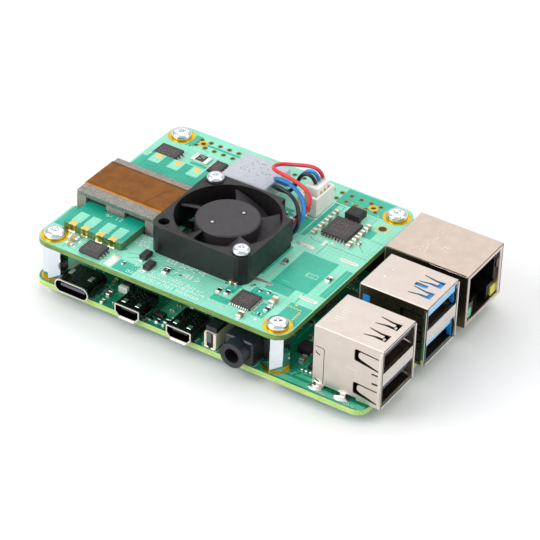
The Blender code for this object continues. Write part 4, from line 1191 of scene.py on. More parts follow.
def make_upper_small_parts():
    z = UPPER
    size_big, size_mid, size_small = (1.15, 1.3, 1.2), (0.8, 0.85, 0.8), (0.52, 0.55, 0.55)
    caps = [(8.2, 4.2, z, 0, size_big), (8.5, 2.2, z, 0, size_mid), (56.4, 9.8, z, 90, size_big),
            (8.9, 6.0, z, 20, size_small)]
    for y in (36.6, 39.6, 42.5, 45.5):
        caps.append((49.7, y, z, 90, (0.85, 1.0, 1.0)))
    for y in (36.8, 39.4, 42.0, 44.6):
        caps.append((58.7, y, z, 90, (0.85, 1.0, 1.0)))
    brown = [(53.2, 1.7, z, 90, (0.95, 1.1, 1.0)), (45.8, 10.4, z, 0, size_mid),
             (60.2, 38.6, z, 90, size_small), (37.4, 39.8, z, 45, size_mid)]
    resistors = [(31.3, 6.2, z, 90, (1.1, 1.25, 1.0)), (22.0, 3.3, z, 90, size_small),
                 (44.5, 6.9, z, 90, size_mid), (46.4, 7.2, z, 90, size_mid), (51.8, 11.8, z, 90, size_small),
                 (53.7, 12.3, z, 90, size_small), (56.6, 6.9, z, 90, size_mid), (56.2, 4.6, z, 0, size_small),
                 (50.5, 23.7, z, 90, (0.95, 1.05, 1.0)), (61.8, 23.4, z, 90, (0.95, 1.05, 1.0)),
                 (43.4, 39.6, z, 0, size_mid), (45.0, 37.0, z, 90, size_small),
                 (20.8, 43.2, z, 0, size_small), (40.6, 39.0, z, 90, size_mid)]
    small_parts("upper", caps, brown, resistors)
    dots = Solids()
    for x, y in ((31.3, 6.2), (50.5, 23.7), (61.8, 23.4)):
        dots.ring(x, y, 0.13, 0.24, z + 0.49, z + 0.515, RESISTOR_MARK, 12)
    dots.piece("upper_resistor_dots", slot="white_plastic")


make_upper_chips()
make_upper_small_parts()


# ---------------------------------------------------------------- transformer

WINDING_LOW, WINDING_HIGH = node_box("transformer_winding")
CORE_LOW, CORE_HIGH = node_box("transformer_core")


def make_winding():
    """The winding board's solder edges, gold terminals and the copper seen under its mask."""
    top = WINDING_HIGH[2]
    y0, y1 = WINDING_LOW[1], WINDING_HIGH[1]
    gold = Solids()
    copper = Solids()
    for x in (5.8, 9.1, 13.1, 16.4):
        gold.prism(rectangle(x - 0.9, y0 - 0.03, x + 0.9, y0 + 1.35), top - 0.02, top + 0.04, GOLD, 0.01)
        gold.prism(rectangle(x - 0.9, y0 - 0.09, x - 0.42, y0 + 0.02), WINDING_LOW[2] + 0.05, top, GOLD, 0.02)
        gold.prism(rectangle(x + 0.42, y0 - 0.09, x + 0.9, y0 + 0.02), WINDING_LOW[2] + 0.05, top, GOLD, 0.02)
        # The middle of each half hole is a flat strip of darker olive plating: painted shade of the hollow.
        gold.prism(rectangle(x - 0.42, y0 - 0.05, x + 0.42, y0 + 0.02), WINDING_LOW[2] + 0.05, top - 0.05,
                   PIN_RING, 0.02)
        gold.block((x - 0.9, y0 - 0.34, UPPER), (x + 0.9, y0 + 0.02, UPPER + 0.2), TIN, 0.08)
        copper.prism(rectangle(x - 1.2, y0 + 1.4, x + 1.2, y0 + 5.2), top - 0.02, top + 0.024, MASK_MINT)
    for x in (5.8, 11.0, 16.2):
        gold.prism(rectangle(x - 0.8, y1 - 1.7, x + 0.8, y1 - 0.1), top - 0.02, top + 0.04, GOLD, 0.01)
        copper.prism(rectangle(x - 1.5, y1 - 3.7, x + 1.5, y1 - 0.05), top - 0.02, top + 0.024, MASK_MINT)
        gold.block((x - 0.9, y1 - 0.02, UPPER), (x + 0.9, y1 + 0.6, UPPER + 0.32), SOLDER, 0.12)
    gold.piece("winding_terminals", slot="brass")
    copper.piece("winding_copper", slot="mask_green")
    rim = Solids()
    marks(rim, 9.6, 13.6, 1.9, 0.8, 0.18, top + 0.02, SILK, 21)
    marks(rim, 12.6, 13.6, 1.6, 0.8, 0.2, top + 0.02, SILK, 22)
    rim.piece("winding_legend", slot="white_plastic")


def make_core():
    """The ferrite core's edges, a greenish band of painted shade and painted board reflection on its front
    face, a dark block of painted shade in its window, and the tape that holds its halves.
    """
    # The plate gets the dark green ferrite: painted shade.
    soften("transformer_plate", FERRITE_SHADE, 0.12, 1)
    x0, y0, x1, y1, top = CORE_LOW[0], CORE_LOW[1], CORE_HIGH[0], CORE_HIGH[1], CORE_HIGH[2]
    core = Solids()
    slab = top - 1.25
    core.prism(rounded(x0, y0, x1, y1, 0.3, 3), slab, top, FERRITE, 0.18, 0.08)
    # The core's front face gets a greenish band: painted shade and painted reflection of the board.
    core.prism(rectangle(x0 + 0.35, y0 - 0.02, x1 - 0.35, y0 + 0.5), slab + 0.14, top - 0.22,
               FERRITE_FRONT_SHADE, 0.03)
    for left, right in ((x0, x0 + 2.5), (x1 - 2.5, x1), ((x0 + x1) / 2 - 2.5, (x0 + x1) / 2 + 2.5)):
        leg = rectangle(left + 0.03, y0 + 0.03, right - 0.03, y1 - 0.03)
        core.prism(leg, CORE_LOW[2], slab + 0.05, FERRITE, 0, 0.1)
    # A dark block between the legs stands for the shaded window over the winding: painted shade.
    core.block((x0 + 2.4, y0 + 0.9, CORE_LOW[2] + 0.02), (x1 - 2.4, y1 - 0.9, slab + 0.04), FERRITE_SHADE)
    core.piece("transformer_core.ground", slot=slot_of("transformer_core"), replaces=("transformer_core",))
    tape_low, tape_high = node_box("transformer_tape")
    tape = Solids()
    low_y, high_y = tape_low[1], tape_high[1]
    skin = 0.13
    steps = 14
    rows = 10
    slot = tape.index(AMBER)
    edge_and_highlight_slot = tape.index(AMBER_EDGE_AND_HIGHLIGHT)
    across = [low_y + (high_y - low_y) * j / rows for j in range(rows + 1)]
    profile = [(x0 - skin, CORE_LOW[2] + 0.3), (x0 - skin, top - 0.25), (x0 - skin * 0.7, top + skin * 0.3),
               (x0 + 0.15, top + skin)]
    profile += [(x0 + 0.15 + (x1 - x0 - 0.3) * i / steps, top + skin + 0.02 * math.sin(i * 1.7))
                for i in range(1, steps)]
    profile += [(x1 - 0.15, top + skin), (x1 + skin * 0.7, top + skin * 0.3), (x1 + skin, top - 0.25),
                (x1 + skin, CORE_LOW[2] + 0.3)]
    grid = [[tape.mesh.verts.new((x, y, z)) for y in across] for x, z in profile]
    inner = [[tape.mesh.verts.new((x + (0.06 if x < x0 else -0.06 if x > x1 else 0), y, z - 0.08))
              for y in (across[0], across[-1])] for x, z in profile]
    for i in range(len(profile) - 1):
        for j in range(rows):
            face = tape.mesh.faces.new((grid[i][j], grid[i + 1][j], grid[i + 1][j + 1], grid[i][j + 1]))
            face.smooth = True
            # The tape's folded ends take the lighter golden film: painted highlight.
            edge = profile[i][0] > x1 - 1.2 or profile[i + 1][0] < x0 + 0.5
            face.material_index = edge_and_highlight_slot if edge else slot
        for j, k in ((0, 0), (rows, 1)):
            face = tape.mesh.faces.new((grid[i][j], inner[i][k], inner[i + 1][k], grid[i + 1][j]))
            face.material_index = edge_and_highlight_slot
        face = tape.mesh.faces.new((inner[i][0], inner[i][1], inner[i + 1][1], inner[i + 1][0]))
        face.material_index = slot
    for i in (0, len(profile) - 1):
        face = tape.mesh.faces.new((*grid[i], inner[i][1], inner[i][0]))
        face.material_index = edge_and_highlight_slot
    for y0_band, y1_band in ((low_y - 0.28, low_y + 0.16), (high_y - 0.14, high_y + 0.16)):
        tape.prism(rectangle(x0 + 0.02, y0_band, x1 - 0.02, y1_band), top - 0.02, top + 0.05,
                   AMBER_EDGE_AND_HIGHLIGHT, 0.01)
    tape.line(((x1 - 5.4, low_y + 0.9), (x1 - 4.2, high_y - 3.5)), 0.06, top + skin - 0.01, top + skin + 0.03,
              PACKAGE_DARK)
    tape.piece("transformer_tape.film", slot="amber_tape", replaces=("transformer_tape",))


make_winding()
make_core()


# ---------------------------------------------------------------- power inductor

def make_inductor():
    soften("power_inductor", CHOKE, 0.3, 2)
    low, high = node_box("power_inductor")
    dots = Solids()
    pick = random.Random(14)
    rows = ((3.6, 6.9, 1.75), (2.4, 4.0, 1.75))
    for offset_x, offset_y, height in rows:
        x = low[0] + offset_x
        while x < high[0] - 2.3:
            for _ in range(pick.choice((7, 9, 11))):
                angle = pick.random() * math.tau
                u = x + 0.75 + 0.62 * math.cos(angle)
                v = low[1] + offset_y + height * (0.5 + 0.5 * math.sin(angle))
                dots.prism(turned_rectangle(u, v, 0.3, 0.12, math.degrees(angle) + 90),
                           high[2] - 0.01, high[2] + 0.012, CHOKE_MARK)
            x += 2.05
    dots.piece("power_inductor.marks", slot="choke_grey")
    feet = Solids()
    for x0, x1 in ((low[0] - 0.25, low[0] + 0.5), (high[0] - 0.5, high[0] + 0.25)):
        feet.block((x0, low[1] + 2.6, UPPER), (x1, high[1] - 2.6, UPPER + 0.35), TIN, 0.08)
    feet.piece("power_inductor.feet", slot="nickel")


make_inductor()


# ---------------------------------------------------------------- fan

FAN_TOP = node_box("fan_frame")[1][2]
FAN_X, FAN_Y = 35.9, 23.0
CUP_TOP = node_box("fan_rotor")[1][2]


def make_fan():
    soften("fan_frame", FAN_PLASTIC, 0.16, 2)
    soften("fan_rotor", FAN_WHEEL, 0.09, 2, body="fan_wheel", angle=40)
    dress("fan_stator", STATOR)
    dress("fan_bearing", BRASS)
    dress("fan_shaft", STEEL)
    rim = Solids()
    top = FAN_TOP
    rim.ring(FAN_X, FAN_Y, 11.86, 12.06, top - 0.1, top + 0.03, FAN_PLASTIC, 72, smooth=True)
    # Small near-black marks at three corners of the frame's top are painted shade of small pits.
    for corner_x, corner_y in ((-1, -1), (1, -1), (-1, 1)):
        for swap in (False, True):
            along, across = (8.3, 11.35)
            dx, dy = (across, along) if swap else (along, across)
            x, y = FAN_X + corner_x * dx, FAN_Y + corner_y * dy
            rim.prism(turned_rectangle(x, y, 0.85, 0.42, 45 * corner_x * corner_y * -1), top - 0.05,
                      top + 0.012, OPENING_SHADE)
    rim.piece("fan_frame.rim", slot="black_plastic")
    dimples = Solids()
    # Each dimple is a light dome, a painted highlight, in a ring of the darker frame plastic, painted shade.
    for dx, dy in ((1.87, 3.4), (-1.87, -3.4)):
        x, y = FAN_X + dx, FAN_Y + dy
        dimples.ring(x, y, 0.4, 0.66, CUP_TOP - 0.03, CUP_TOP + 0.06, FAN_PLASTIC, 24, smooth=True)
        dimples.dome(x, y, 0.42, CUP_TOP - 0.02, 0.16, FAN_HUB_HIGHLIGHT, 16, 4)
    dimples.piece("fan_rotor.dimples", body="fan_wheel", slot="black_plastic")


make_fan()


# ---------------------------------------------------------------- fan plug and header

def make_fan_plug():
    soften("fan_header", WHITE, 0.12, 2)
    soften("fan_plug", WHITE, 0.12, 2)
    low, high = node_box("fan_plug")
    shroud_low, shroud_high = node_box("fan_header")
    extra = Solids()
    for y in LEAD_ROWS:
        extra.ring(44.7, y, 0.46, 0.62, high[2] - 0.02, high[2] + 0.05, CREAM, 18)
        extra.block((high[0] - 0.02, y - 0.32, high[2] - 2.4), (high[0] + 0.05, y + 0.32, high[2] - 1.1),
                    BRASS, 0.02)
    extra.block((low[0] - 0.25, low[1] + 0.4, high[2] - 0.9), (low[0] + 0.02, high[1] - 0.4, high[2] - 0.4),
                WHITE, 0.06)
    extra.piece("fan_plug.details", slot="white_plastic")
    left, front, _ = shroud_low
    tabs = Solids()
    # A teal block on the shroud's front stands for its dark window: painted shade.
    tabs.block((43.5, front - 0.06, UPPER + 0.9), (45.2, front + 0.5, UPPER + 2.0), MASK_TEAL)
    tabs.block((43.9, front - 0.5, UPPER), (44.9, front + 0.2, UPPER + 0.3), TIN, 0.05)
    for y in LEAD_ROWS:
        tabs.block((left - 0.9, y - 0.3, UPPER), (left + 0.1, y + 0.3, UPPER + 0.28), TIN, 0.05)
    for x0 in (left - 0.35, shroud_high[0] - 0.4):
        tabs.block((x0, front + 0.5, UPPER), (x0 + 0.75, front + 1.9, UPPER + 0.5), TIN, 0.06)
    tabs.piece("fan_header.tabs", slot="nickel")


make_fan_plug()


# ---------------------------------------------------------------- screws and posts

def screw_head(solids, x, y, base, radius, height, up, material, turn):
    """A domed head with a cross recess; up is 1 for a head over the board and -1 for one under it."""
    profile = ((1.0, 0.0), (1.0, 0.34), (0.965, 0.56), (0.88, 0.76), (0.74, 0.9), (0.56, 0.97), (0.44, 1.0))
    steps = 48
    loops = []
    for share, level in profile:
        loops.append([(px, py, base + up * height * level) for px, py in circle(x, y, radius * share, steps)])
    slot = solids.index(material)
    rings = [[solids.mesh.verts.new(point) for point in loop] for loop in loops]
    solids.mesh.faces.new(list(reversed(rings[0]))).material_index = slot
    arm, half = radius * 0.42, radius * 0.085
    recess = []
    for i in range(steps):
        angle = i * math.tau / steps
        local = (angle - math.radians(turn)) % (math.tau / 4)
        local = min(local, math.tau / 4 - local)
        reach = min(arm, half / max(0.05, math.sin(local))) if local > 0.02 else arm
        recess.append((x + reach * math.cos(angle), y + reach * math.sin(angle)))
    rings.append([solids.mesh.verts.new((px, py, base + up * height * 1.0)) for px, py in recess])
    rings.append([solids.mesh.verts.new((x + (px - x) * 0.8, y + (py - y) * 0.8, base + up * height * 0.8))
                  for px, py in recess])
    for low, high in zip(rings, rings[1:]):
        for i in range(steps):
            j = (i + 1) % steps
            face = solids.mesh.faces.new((low[i], low[j], high[j], high[i]))
            face.smooth = True
            face.material_index = slot
    solids.mesh.faces.new(rings[-1]).material_index = slot


def make_screws():
    turns = (12, 37, 61, 80, 25, 50)
    corners = ("front_left", "front_right", "back_left", "back_right")
    for number, (name, (x, y)) in enumerate(zip(corners, HOLES)):
        low, high = node_box(f"top_screw_{name}")
        solids = Solids()
        screw_head(solids, x, y, UPPER + 0.06, (high[0] - low[0]) / 2, high[2] - UPPER - 0.06, 1, STEEL,
                   turns[number])
        solids.prism(circle(x, y, 1.19, 24), low[2], UPPER + 0.1, STEEL, 0, 0.2, smooth=True)
        solids.piece(f"top_screw_{name}.zinc", slot="zinc", replaces=(f"top_screw_{name}",))
        low, high = node_box(f"bottom_screw_{name}")
        solids = Solids()
        base = -BOARD_THICK - 0.06
        screw_head(solids, x, y, base, (high[0] - low[0]) / 2, base - low[2], -1, STEEL, turns[number] + 20)
        solids.prism(circle(x, y, 1.19, 24), -BOARD_THICK - 0.1, high[2], STEEL, 0.2, 0, smooth=True)
        solids.piece(f"bottom_screw_{name}.zinc", slot="zinc", replaces=(f"bottom_screw_{name}",))
        soften(f"standoff_{name}", POST_METAL, 0.12, 2)
    for number, name in enumerate(("near", "far")):
        low, high = node_box(f"fan_screw_{name}")
        x, y = (low[0] + high[0]) / 2, (low[1] + high[1]) / 2
        solids = Solids()
        screw_head(solids, x, y, FAN_TOP + 0.05, (high[0] - low[0]) / 2, high[2] - FAN_TOP - 0.05, 1,
                   STEEL, turns[4 + number])
        solids.prism(circle(x, y, 0.99, 24), low[2], FAN_TOP + 0.1, STEEL, 0, 0.2, smooth=True)
        solids.piece(f"fan_screw_{name}.zinc", slot="zinc", replaces=(f"fan_screw_{name}",))


make_screws()


# ---------------------------------------------------------------- stamped sockets

SHEET = 0.35
USB_PORTS = ((1.0, 6.4), (9.6, 15.0))


def spring_hole(u, v, length, root, tip):
    """The slot round a spring finger that points along +u: thin at the root and open at the tip."""
    return [(u, v + root + 0.24), (u, v + root), (u + length * 0.62, v + tip), (u + length * 0.78, v + tip),
            (u + length * 0.78, v - tip), (u + length * 0.55, v - tip), (u, v - root), (u, v - root - 0.24),
            (u + length * 0.45, v - tip - 0.62), (u + length, v - tip - 0.85), (u + length, v + tip + 0.75),
            (u + length * 0.6, v + tip + 0.55)]


def side_hole(u, v, length, height):
    """The slot round a side spring: open at its rear, with a thin leg over it and a tapered one under it."""
    low, high, end = v - height / 2, v + height / 2, u + length
    return [(u, low + 0.2), (u + 0.25, low), (u + 1.3, low - 0.15), (end, low - 0.95), (end, low - 0.6),
            (u + 1.8, low + 0.62), (u + 1.15, low + 0.95), (u + 0.95, v), (u + 1.1, high - 0.62),
            (u + 1.5, high - 0.4), (end, high - 0.66), (end, high - 0.4), (u + 1.0, high), (u + 0.3, high),
            (u, high - 0.3)]


def usb_shell(name, blue):
    """A folded shell for two stacked sockets, with its springs, seams and flared front."""
    low, high = node_box(name)
    x0, y0, z0 = low
    x1, y1, z1 = high
    centre = (y0 + y1) / 2
    shell = Solids()

    spring_rows = (centre - 2.25, centre + 2.4)
    top_holes = [spring_hole(x1 - 6.6, y, 5.2, 1.15, 0.45) for y in spring_rows]
    if blue:
        top_holes.append(rounded(x1 - 6.9, centre - 0.55, x1 - 3.9, centre + 0.6, 0.3))
    add_sheet(shell, rectangle(x0 + 0.3, y0 + 0.3, x1, y1 - 0.3), top_holes, SHEET,
              lambda u, v, d: (u, v, z1 - SHEET + d), NICKEL)
    side_holes = [side_hole(x1 - 6.8, 12.2, 6.1, 2.9), side_hole(x1 - 6.8, 3.7, 6.1, 2.9)]
    side_holes += [rectangle(x1 - 2.5, 8.7, x1 - 0.9, 9.1), rectangle(x1 - 2.4, 6.3, x1 - 0.9, 6.75)]
    seam_x, seam_z = x0 + 2.6, 10.3
    seam = [(x0 + 0.5, seam_z), (seam_x - 0.3, seam_z), (seam_x, seam_z - 0.3), (seam_x, 1.1),
            (seam_x + 0.16, 1.1), (seam_x + 0.16, seam_z - 0.22), (seam_x - 0.22, seam_z + 0.16),
            (x0 + 0.5, seam_z + 0.16)]
    side_holes.append(seam)
    for z in (8.6, 1.5):
        side_holes.append([(x0 + 0.55, z + 0.55), (x0 + 0.75, z + 0.05), (x0 + 1.7, z - 0.35),
                           (x0 + 1.75, z - 0.1), (x0 + 0.9, z + 0.35), (x0 + 0.8, z + 0.62)])
    outline = [(x0 + 0.3, 0.9), (x0 + 1.0, 0.9), (x0 + 1.0, z0), (x0 + 2.9, z0), (x0 + 2.9, 0.9),
               (x0 + 7.0, 0.9), (x0 + 7.0, z0), (x0 + 8.3, z0), (x0 + 8.3, 1.2), (x1 - 5.9, 1.2),
               (x1 - 5.9, 0.55), (x1, 0.55), (x1, z1 - 0.3), (x0 + 0.3, z1 - 0.3)]
    # The blue socket's sides, in the shadow of their neighbours, are darkened nickel: painted shade.
    side = NICKEL_SHADE if blue else NICKEL
    for y, flip in ((y0, 1), (y1, -1)):
        edge = y if flip > 0 else y - SHEET
        add_sheet(shell, outline, side_holes, SHEET, lambda u, v, d, edge=edge: (u, edge + d, v), side)
    ports = [rectangle(y0 + 0.45, z_low, y1 - 0.45, z_high) for z_low, z_high in USB_PORTS]
    add_sheet(shell, rectangle(y0 + 0.1, 0.55, y1 - 0.1, z1 - 0.1), ports, 0.3,
              lambda u, v, d: (x1 - 0.3 + d, u, v), NICKEL_BRIGHT)

    def fold(corner_y, corner_z, out_y, out_z, start, end, radius=0.32):
        """The rounded fold between two sheets, along X."""
        profile = []
        for i in range(7):
            angle = math.radians(90 * i / 6)
            profile.append((corner_y + out_y * radius * math.sin(angle),
                            corner_z + out_z * radius * math.cos(angle)))
        profile += [(corner_y + out_y * 0.01, corner_z), (corner_y, corner_z + out_z * 0.01)]
        shell.strip(profile, start, end, "x", NICKEL, smooth=False)

    fold(y0 + 0.32, z1 - 0.32, -1, 1, x0 + 0.3, x1)
    fold(y1 - 0.32, z1 - 0.32, 1, 1, x0 + 0.3, x1)
    rear = [(x0, z0 + 0.3), (x0 + 0.32, z0 + 0.3), (x0 + 0.34, z1 - 0.02), (x0 + 0.2, z1 - 0.06),
            (x0 + 0.06, z1 - 0.2), (x0, z1 - 0.4)]
    shell.strip(rear, y0 + 0.12, y1 - 0.12, "y", NICKEL)
    for y, out in ((y0, -1), (y1, 1)):
        lip = [(x1 - 1.0, y - out * 0.05), (x1 - 0.3, y + out * 0.12), (x1, y + out * 0.5),
               (x1, y + out * 0.22), (x1 - 0.2, y - out * 0.1), (x1 - 1.0, y - out * 0.28)]
        shell.prism(lip, 0.6, z1 - 0.9, NICKEL_BRIGHT)
    shell.block((x1 - 0.35, y0 + 0.4, 0.35), (x1, y1 - 0.4, 0.62), NICKEL_BRIGHT, 0.06)
    for y in spring_rows:
        shell.dome(x1 - 2.95, y, 0.46, z1 - 0.12, 0.12, NICKEL_BRIGHT, 16, 4)
        shell.slanted((x1 - 3.2, y, z1 - 0.35), (x1 - 2.2, y, z1 - 0.75), 0.44, 0.15, NICKEL_BRIGHT)
    for y, out in ((y0, -1), (y1, 1)):
        low_y, high_y = sorted((y + out * 0.001, y + out * 0.051))
        shell.block((x1 - 9.6, low_y, 7.4), (x1 - 5.4, high_y, 8.2), side)
    if blue:
        for x, y in ((x1 - 13.2, centre + 1.5), (x1 - 13.4, centre - 1.4)):
            shell.dome(x, y, 0.42, z1 - 0.01, 0.16, NICKEL_BRIGHT, 16, 4)
    else:
        for i in range(7):
            y = centre - 3.4 + i * 0.9
            shell.line(((x0 + 2.2, y), (x0 + 3.6 + (i % 3) * 0.25, y + 0.3)), 0.2, z1 - 0.005, z1 + 0.02,
                       NICKEL_BRIGHT)
    shell.piece(f"{name}.folded", slot="nickel", replaces=(name,))

    inside = Solids()
    material = BLUE if blue else DARK_PLASTIC
    front = BLUE if blue else TONGUE
    # The blue tongues' front lips are pale blue: painted reflection.
    lip_front = BLUE_REFLECTION if blue else TONGUE
    inside.block((x0 + 0.5, y0 + 0.5, z0 + 0.45), (x0 + 6.2, y1 - 0.5, z1 - 0.45), material, 0.2)
    for z_low, z_high in USB_PORTS:
        tongue_low, tongue_high = z_low + 3.2, z_low + 4.9
        inside.block((x0 + 5.8, centre - 5.5, tongue_low), (x1 - 1.1, centre + 5.5, tongue_high), front, 0.18)
        reach = 0.28 if blue and z_low > 5 else 0.7
        inside.block((x1 - 1.4, centre - 5.6, tongue_low + 0.25),
                     (x1 - reach, centre + 5.6, tongue_high + 0.15), lip_front, 0.12)
        for i in range(4):
            y = centre + (i - 1.5) * 2.4
            inside.block((x0 + 6.4, y - 0.5, tongue_low - 0.14), (x1 - 1.9, y + 0.5, tongue_low + 0.02),
                         BRASS, 0.04)
            inside.block((x0 + 6.2, y - 0.45, z_low - 0.1), (x0 + 6.6, y + 0.45, tongue_low), BRASS, 0.04)
        if blue:
            for y in (y0 + 0.5, y1 - 0.85):
                inside.block((x1 - 1.5, y, z_low + 0.1), (x1 - 0.6, y + 0.35, z_high - 0.2), BLUE, 0.05)
    # The plates between and under the ports are darkened nickel: painted shade.
    for z, back in ((USB_PORTS[0][0] - 0.5, 0.7), (USB_PORTS[1][0] - 0.5, 0.7), (6.75, 0.32), (8.8, 0.32)):
        inside.block((x0 + 5.0, y0 + 0.42, z), (x1 - back, y1 - 0.42, z + 0.35), NICKEL_SHADE, 0.04)
    if blue:
        inside.block((x0 + 1.0, y0 - 0.04, 11.2), (x0 + 2.7, y0 + 0.5, 13.2), BLUE, 0.08)
        for y, width in ((centre - 1.6, 5.0), (centre - 3.4, 1.8)):
            inside.block((x1 - 7.4, y, z1 - 0.75), (x1 - 1.2, y + width, z1 - 0.4), BLUE, 0.05)
    else:
        inside.block((x1 - 8.0, centre - 4.6, z1 - 1.5), (x1 - 1.3, centre + 4.6, z1 - 1.2),
                     DARK_PLASTIC, 0.05)
    insert = name.replace("shell", "insert")
    inside.piece(f"{insert}.contacts", slot=slot_of(insert), replaces=(insert,))


def network_shell():
    low, high = node_box("network_shell")
    x0, y0, z0 = low
    x1, y1, z1 = high
    shell = Solids()
    add_sheet(shell, rectangle(x0 + 0.25, y0 + 0.25, x1, y1 - 0.25), [], SHEET,
              lambda u, v, d: (u, v, z1 - SHEET + d), NICKEL_DULL)
    spring = [(x1 - 5.6, 9.2), (x1 - 1.6, 9.2), (x1 - 1.6, 9.45), (x1 - 5.2, 9.45), (x1 - 5.2, 11.3),
              (x1 - 1.6, 11.3), (x1 - 1.6, 11.55), (x1 - 5.6, 11.55)]
    seam = [(x1 - 8.6, z1 - 0.62), (x1 - 0.5, z1 - 0.62), (x1 - 0.5, z1 - 0.5), (x1 - 8.6, z1 - 0.5)]
    # The side at the low-Y end is darkened nickel: painted shade.
    for y, sign in ((y0, 1), (y1, -1)):
        edge = y if sign > 0 else y - SHEET
        add_sheet(shell, rectangle(x0 + 0.25, z0, x1, z1 - 0.2), [spring, seam], SHEET,
                  lambda u, v, d, edge=edge: (u, edge + d, v), NICKEL_SHADE if sign > 0 else NICKEL_DULL)
    centre = (y0 + y1) / 2
    window = rectangle(centre - 6.9, 0.9, centre + 6.9, 12.5)
    add_sheet(shell, rectangle(y0 + 0.1, z0, y1 - 0.1, z1 - 0.1), [window], SHEET,
              lambda u, v, d: (x1 - SHEET + d, u, v), NICKEL)
    add_sheet(shell, rectangle(y0 + 0.1, z0, y1 - 0.1, z1 - 0.1), [], SHEET,
              lambda u, v, d: (x0 + d, u, v), NICKEL_DULL)
    # The floor of the opening is darkened nickel: painted shade.
    shell.block((x0 + 5.0, y0 + 0.3, z0 + 0.02), (x1 - 0.3, y1 - 0.3, z0 + 0.3), NICKEL_SHADE)
    shell.block((x1 - 0.9, centre - 6.9, 12.3), (x1 - 0.05, centre + 6.9, 12.6), NICKEL, 0.05)
    for y in (centre - 6.95, centre + 6.65):
        shell.block((x1 - 4.2, y, 0.9), (x1 - 0.05, y + 0.3, 12.5), NICKEL, 0.05)
    leaf = [(x1 - 4.6, centre + 6.7), (x1 - 0.4, centre + 6.2), (x1 - 0.4, centre + 6.4),
            (x1 - 4.6, centre + 6.9)]
    shell.prism(leaf, 7.8, 10.0, NICKEL_BRIGHT)
    shell.block((x1 - 9.4, y0 - 0.02, z1 - 0.34), (x1 - 0.02, y0 + 0.08, z1 - 0.2), NICKEL_BRIGHT, 0.02)
    marks(shell, x0 + 8.2, centre - 5.2, 9.6, 1.5, 0.14, z1 - 0.012, NICKEL_BRIGHT, 101, 90)
    marks(shell, x0 + 12.4, centre - 2.4, 3.4, 1.9, 0.18, z1 - 0.012, NICKEL_BRIGHT, 102, 90)
    shell.piece("network_shell.folded", slot="nickel", replaces=("network_shell",))

    block = Solids()
    block.block((x0 + 0.5, y0 + 0.5, 0.5), (x0 + 5.5, y1 - 0.5, z1 - 0.5), JACK_BLOCK, 0.2)
    for y_low, y_high, front, bottom, top in (
            (-7.4, -3.1, 0.8, 0.5, 4.3), (3.1, 7.4, 0.8, 0.5, 4.3), (-3.2, 3.2, 2.6, 0.5, 2.0),
            (-7.25, -6.05, 1.0, 4.2, z1 - 0.6), (-5.5, -3.1, 1.6, 0.7, 1.9),
            (6.05, 7.25, 1.0, 4.2, z1 - 0.6), (3.1, 5.5, 1.6, 0.7, 1.9), (-7.2, 7.2, 1.2, 12.2, z1 - 0.5)):
        block.block((x0 + 5.0, centre + y_low, bottom), (x1 - front, centre + y_high, top), JACK_BLOCK, 0.1)
    for i in range(8):
        y = centre + (i - 3.5) * 1.02
        block.slanted((x0 + 5.4, y, 11.6), (x1 - 4.2, y, 9.6), 0.16, 0.25, BRASS)
    for side, material in ((-1, GREEN_LAMP), (1, YELLOW_LAMP)):
        a, b = sorted((centre + side * 6.75, centre + side * 4.3))
        block.block((x1 - 1.6, a, 1.2), (x1 - 0.45, b, 3.4), material, 0.12)
    block.piece("network_insert.block", slot="black_plastic", replaces=("network_insert",))


def video_socket(side, centre):
    """Rim, spring tabs and mounting lip of a micro video socket."""
    low, high = node_box(f"video_shell_{side}")
    x0, y0, z0 = low
    x1, y1, z1 = high
    # The shell is darkened metal: painted reflection.
    soften(f"video_shell_{side}", SHELL_PAINTED_DARK, 0.08, 2)
    soften(f"video_tongue_{side}", DARK_PLASTIC, 0.06, 1)
    extra = Solids()
    for x in (centre - 1.75, centre + 1.75):
        extra.block((x - 0.5, y0 + 1.3, z1 - 0.06), (x + 0.5, y0 + 2.6, z1 + 0.09), NICKEL_BRIGHT, 0.06)
        # Near-black slits beside each tab are painted shade.
        for dx in (-0.62, 0.56):
            extra.block((x + dx, y0 + 1.2, z1 - 0.05), (x + dx + 0.1, y0 + 3.9, z1 + 0.012), OPENING_SHADE)
    lip = rectangle(centre - 2.0, y0 - 0.25, centre + 2.0, y0 + 0.3)
    extra.prism(lip, -0.5, 0.02, NICKEL_BRIGHT, 0.08, 0.08)
    ring = [(x0 + 0.9, z0), (x1 - 0.9, z0), (x1 - 0.02, z0 + 1.1), (x1 - 0.02, z1 - 0.1),
            (x1 - 0.25, z1 + 0.03), (x0 + 0.25, z1 + 0.03), (x0 + 0.02, z1 - 0.1), (x0 + 0.02, z0 + 1.1)]
    middle_x, middle_z = (x0 + x1) / 2, (z0 + z1) / 2
    inner = [(middle_x + (x - middle_x) * 0.9, middle_z + (z - middle_z) * 0.8) for x, z in ring]
    add_sheet(extra, ring, [inner], 0.22, lambda u, v, d: (u, y0 - 0.05 + d, v), NICKEL_BRIGHT)
    for x in (x0 - 0.35, x1 - 0.25):
        extra.block((x, y0 + 1.6, 0), (x + 0.6, y0 + 2.9, 0.5), SOLDER, 0.15)
        extra.block((x, y1 - 2.2, 0), (x + 0.6, y1 - 1.0, 0.5), SOLDER, 0.15)
    pick = random.Random(9)
    for _ in range(16):
        x, y = x0 + 0.6 + pick.random() * 5.0, y0 + 3.4 + pick.random() * 3.6
        extra.block((x, y, z1 - 0.02), (x + 0.16, y + 0.1, z1 + 0.02), NICKEL_DULL)
    for i in range(5):
        x = centre + (i - 2) * 0.8
        extra.block((x - 0.12, y0 + 0.9, middle_z + 0.66), (x + 0.12, y0 + 3.9, middle_z + 0.74), BRASS)
    extra.piece(f"video_shell_{side}.rim", slot="nickel")


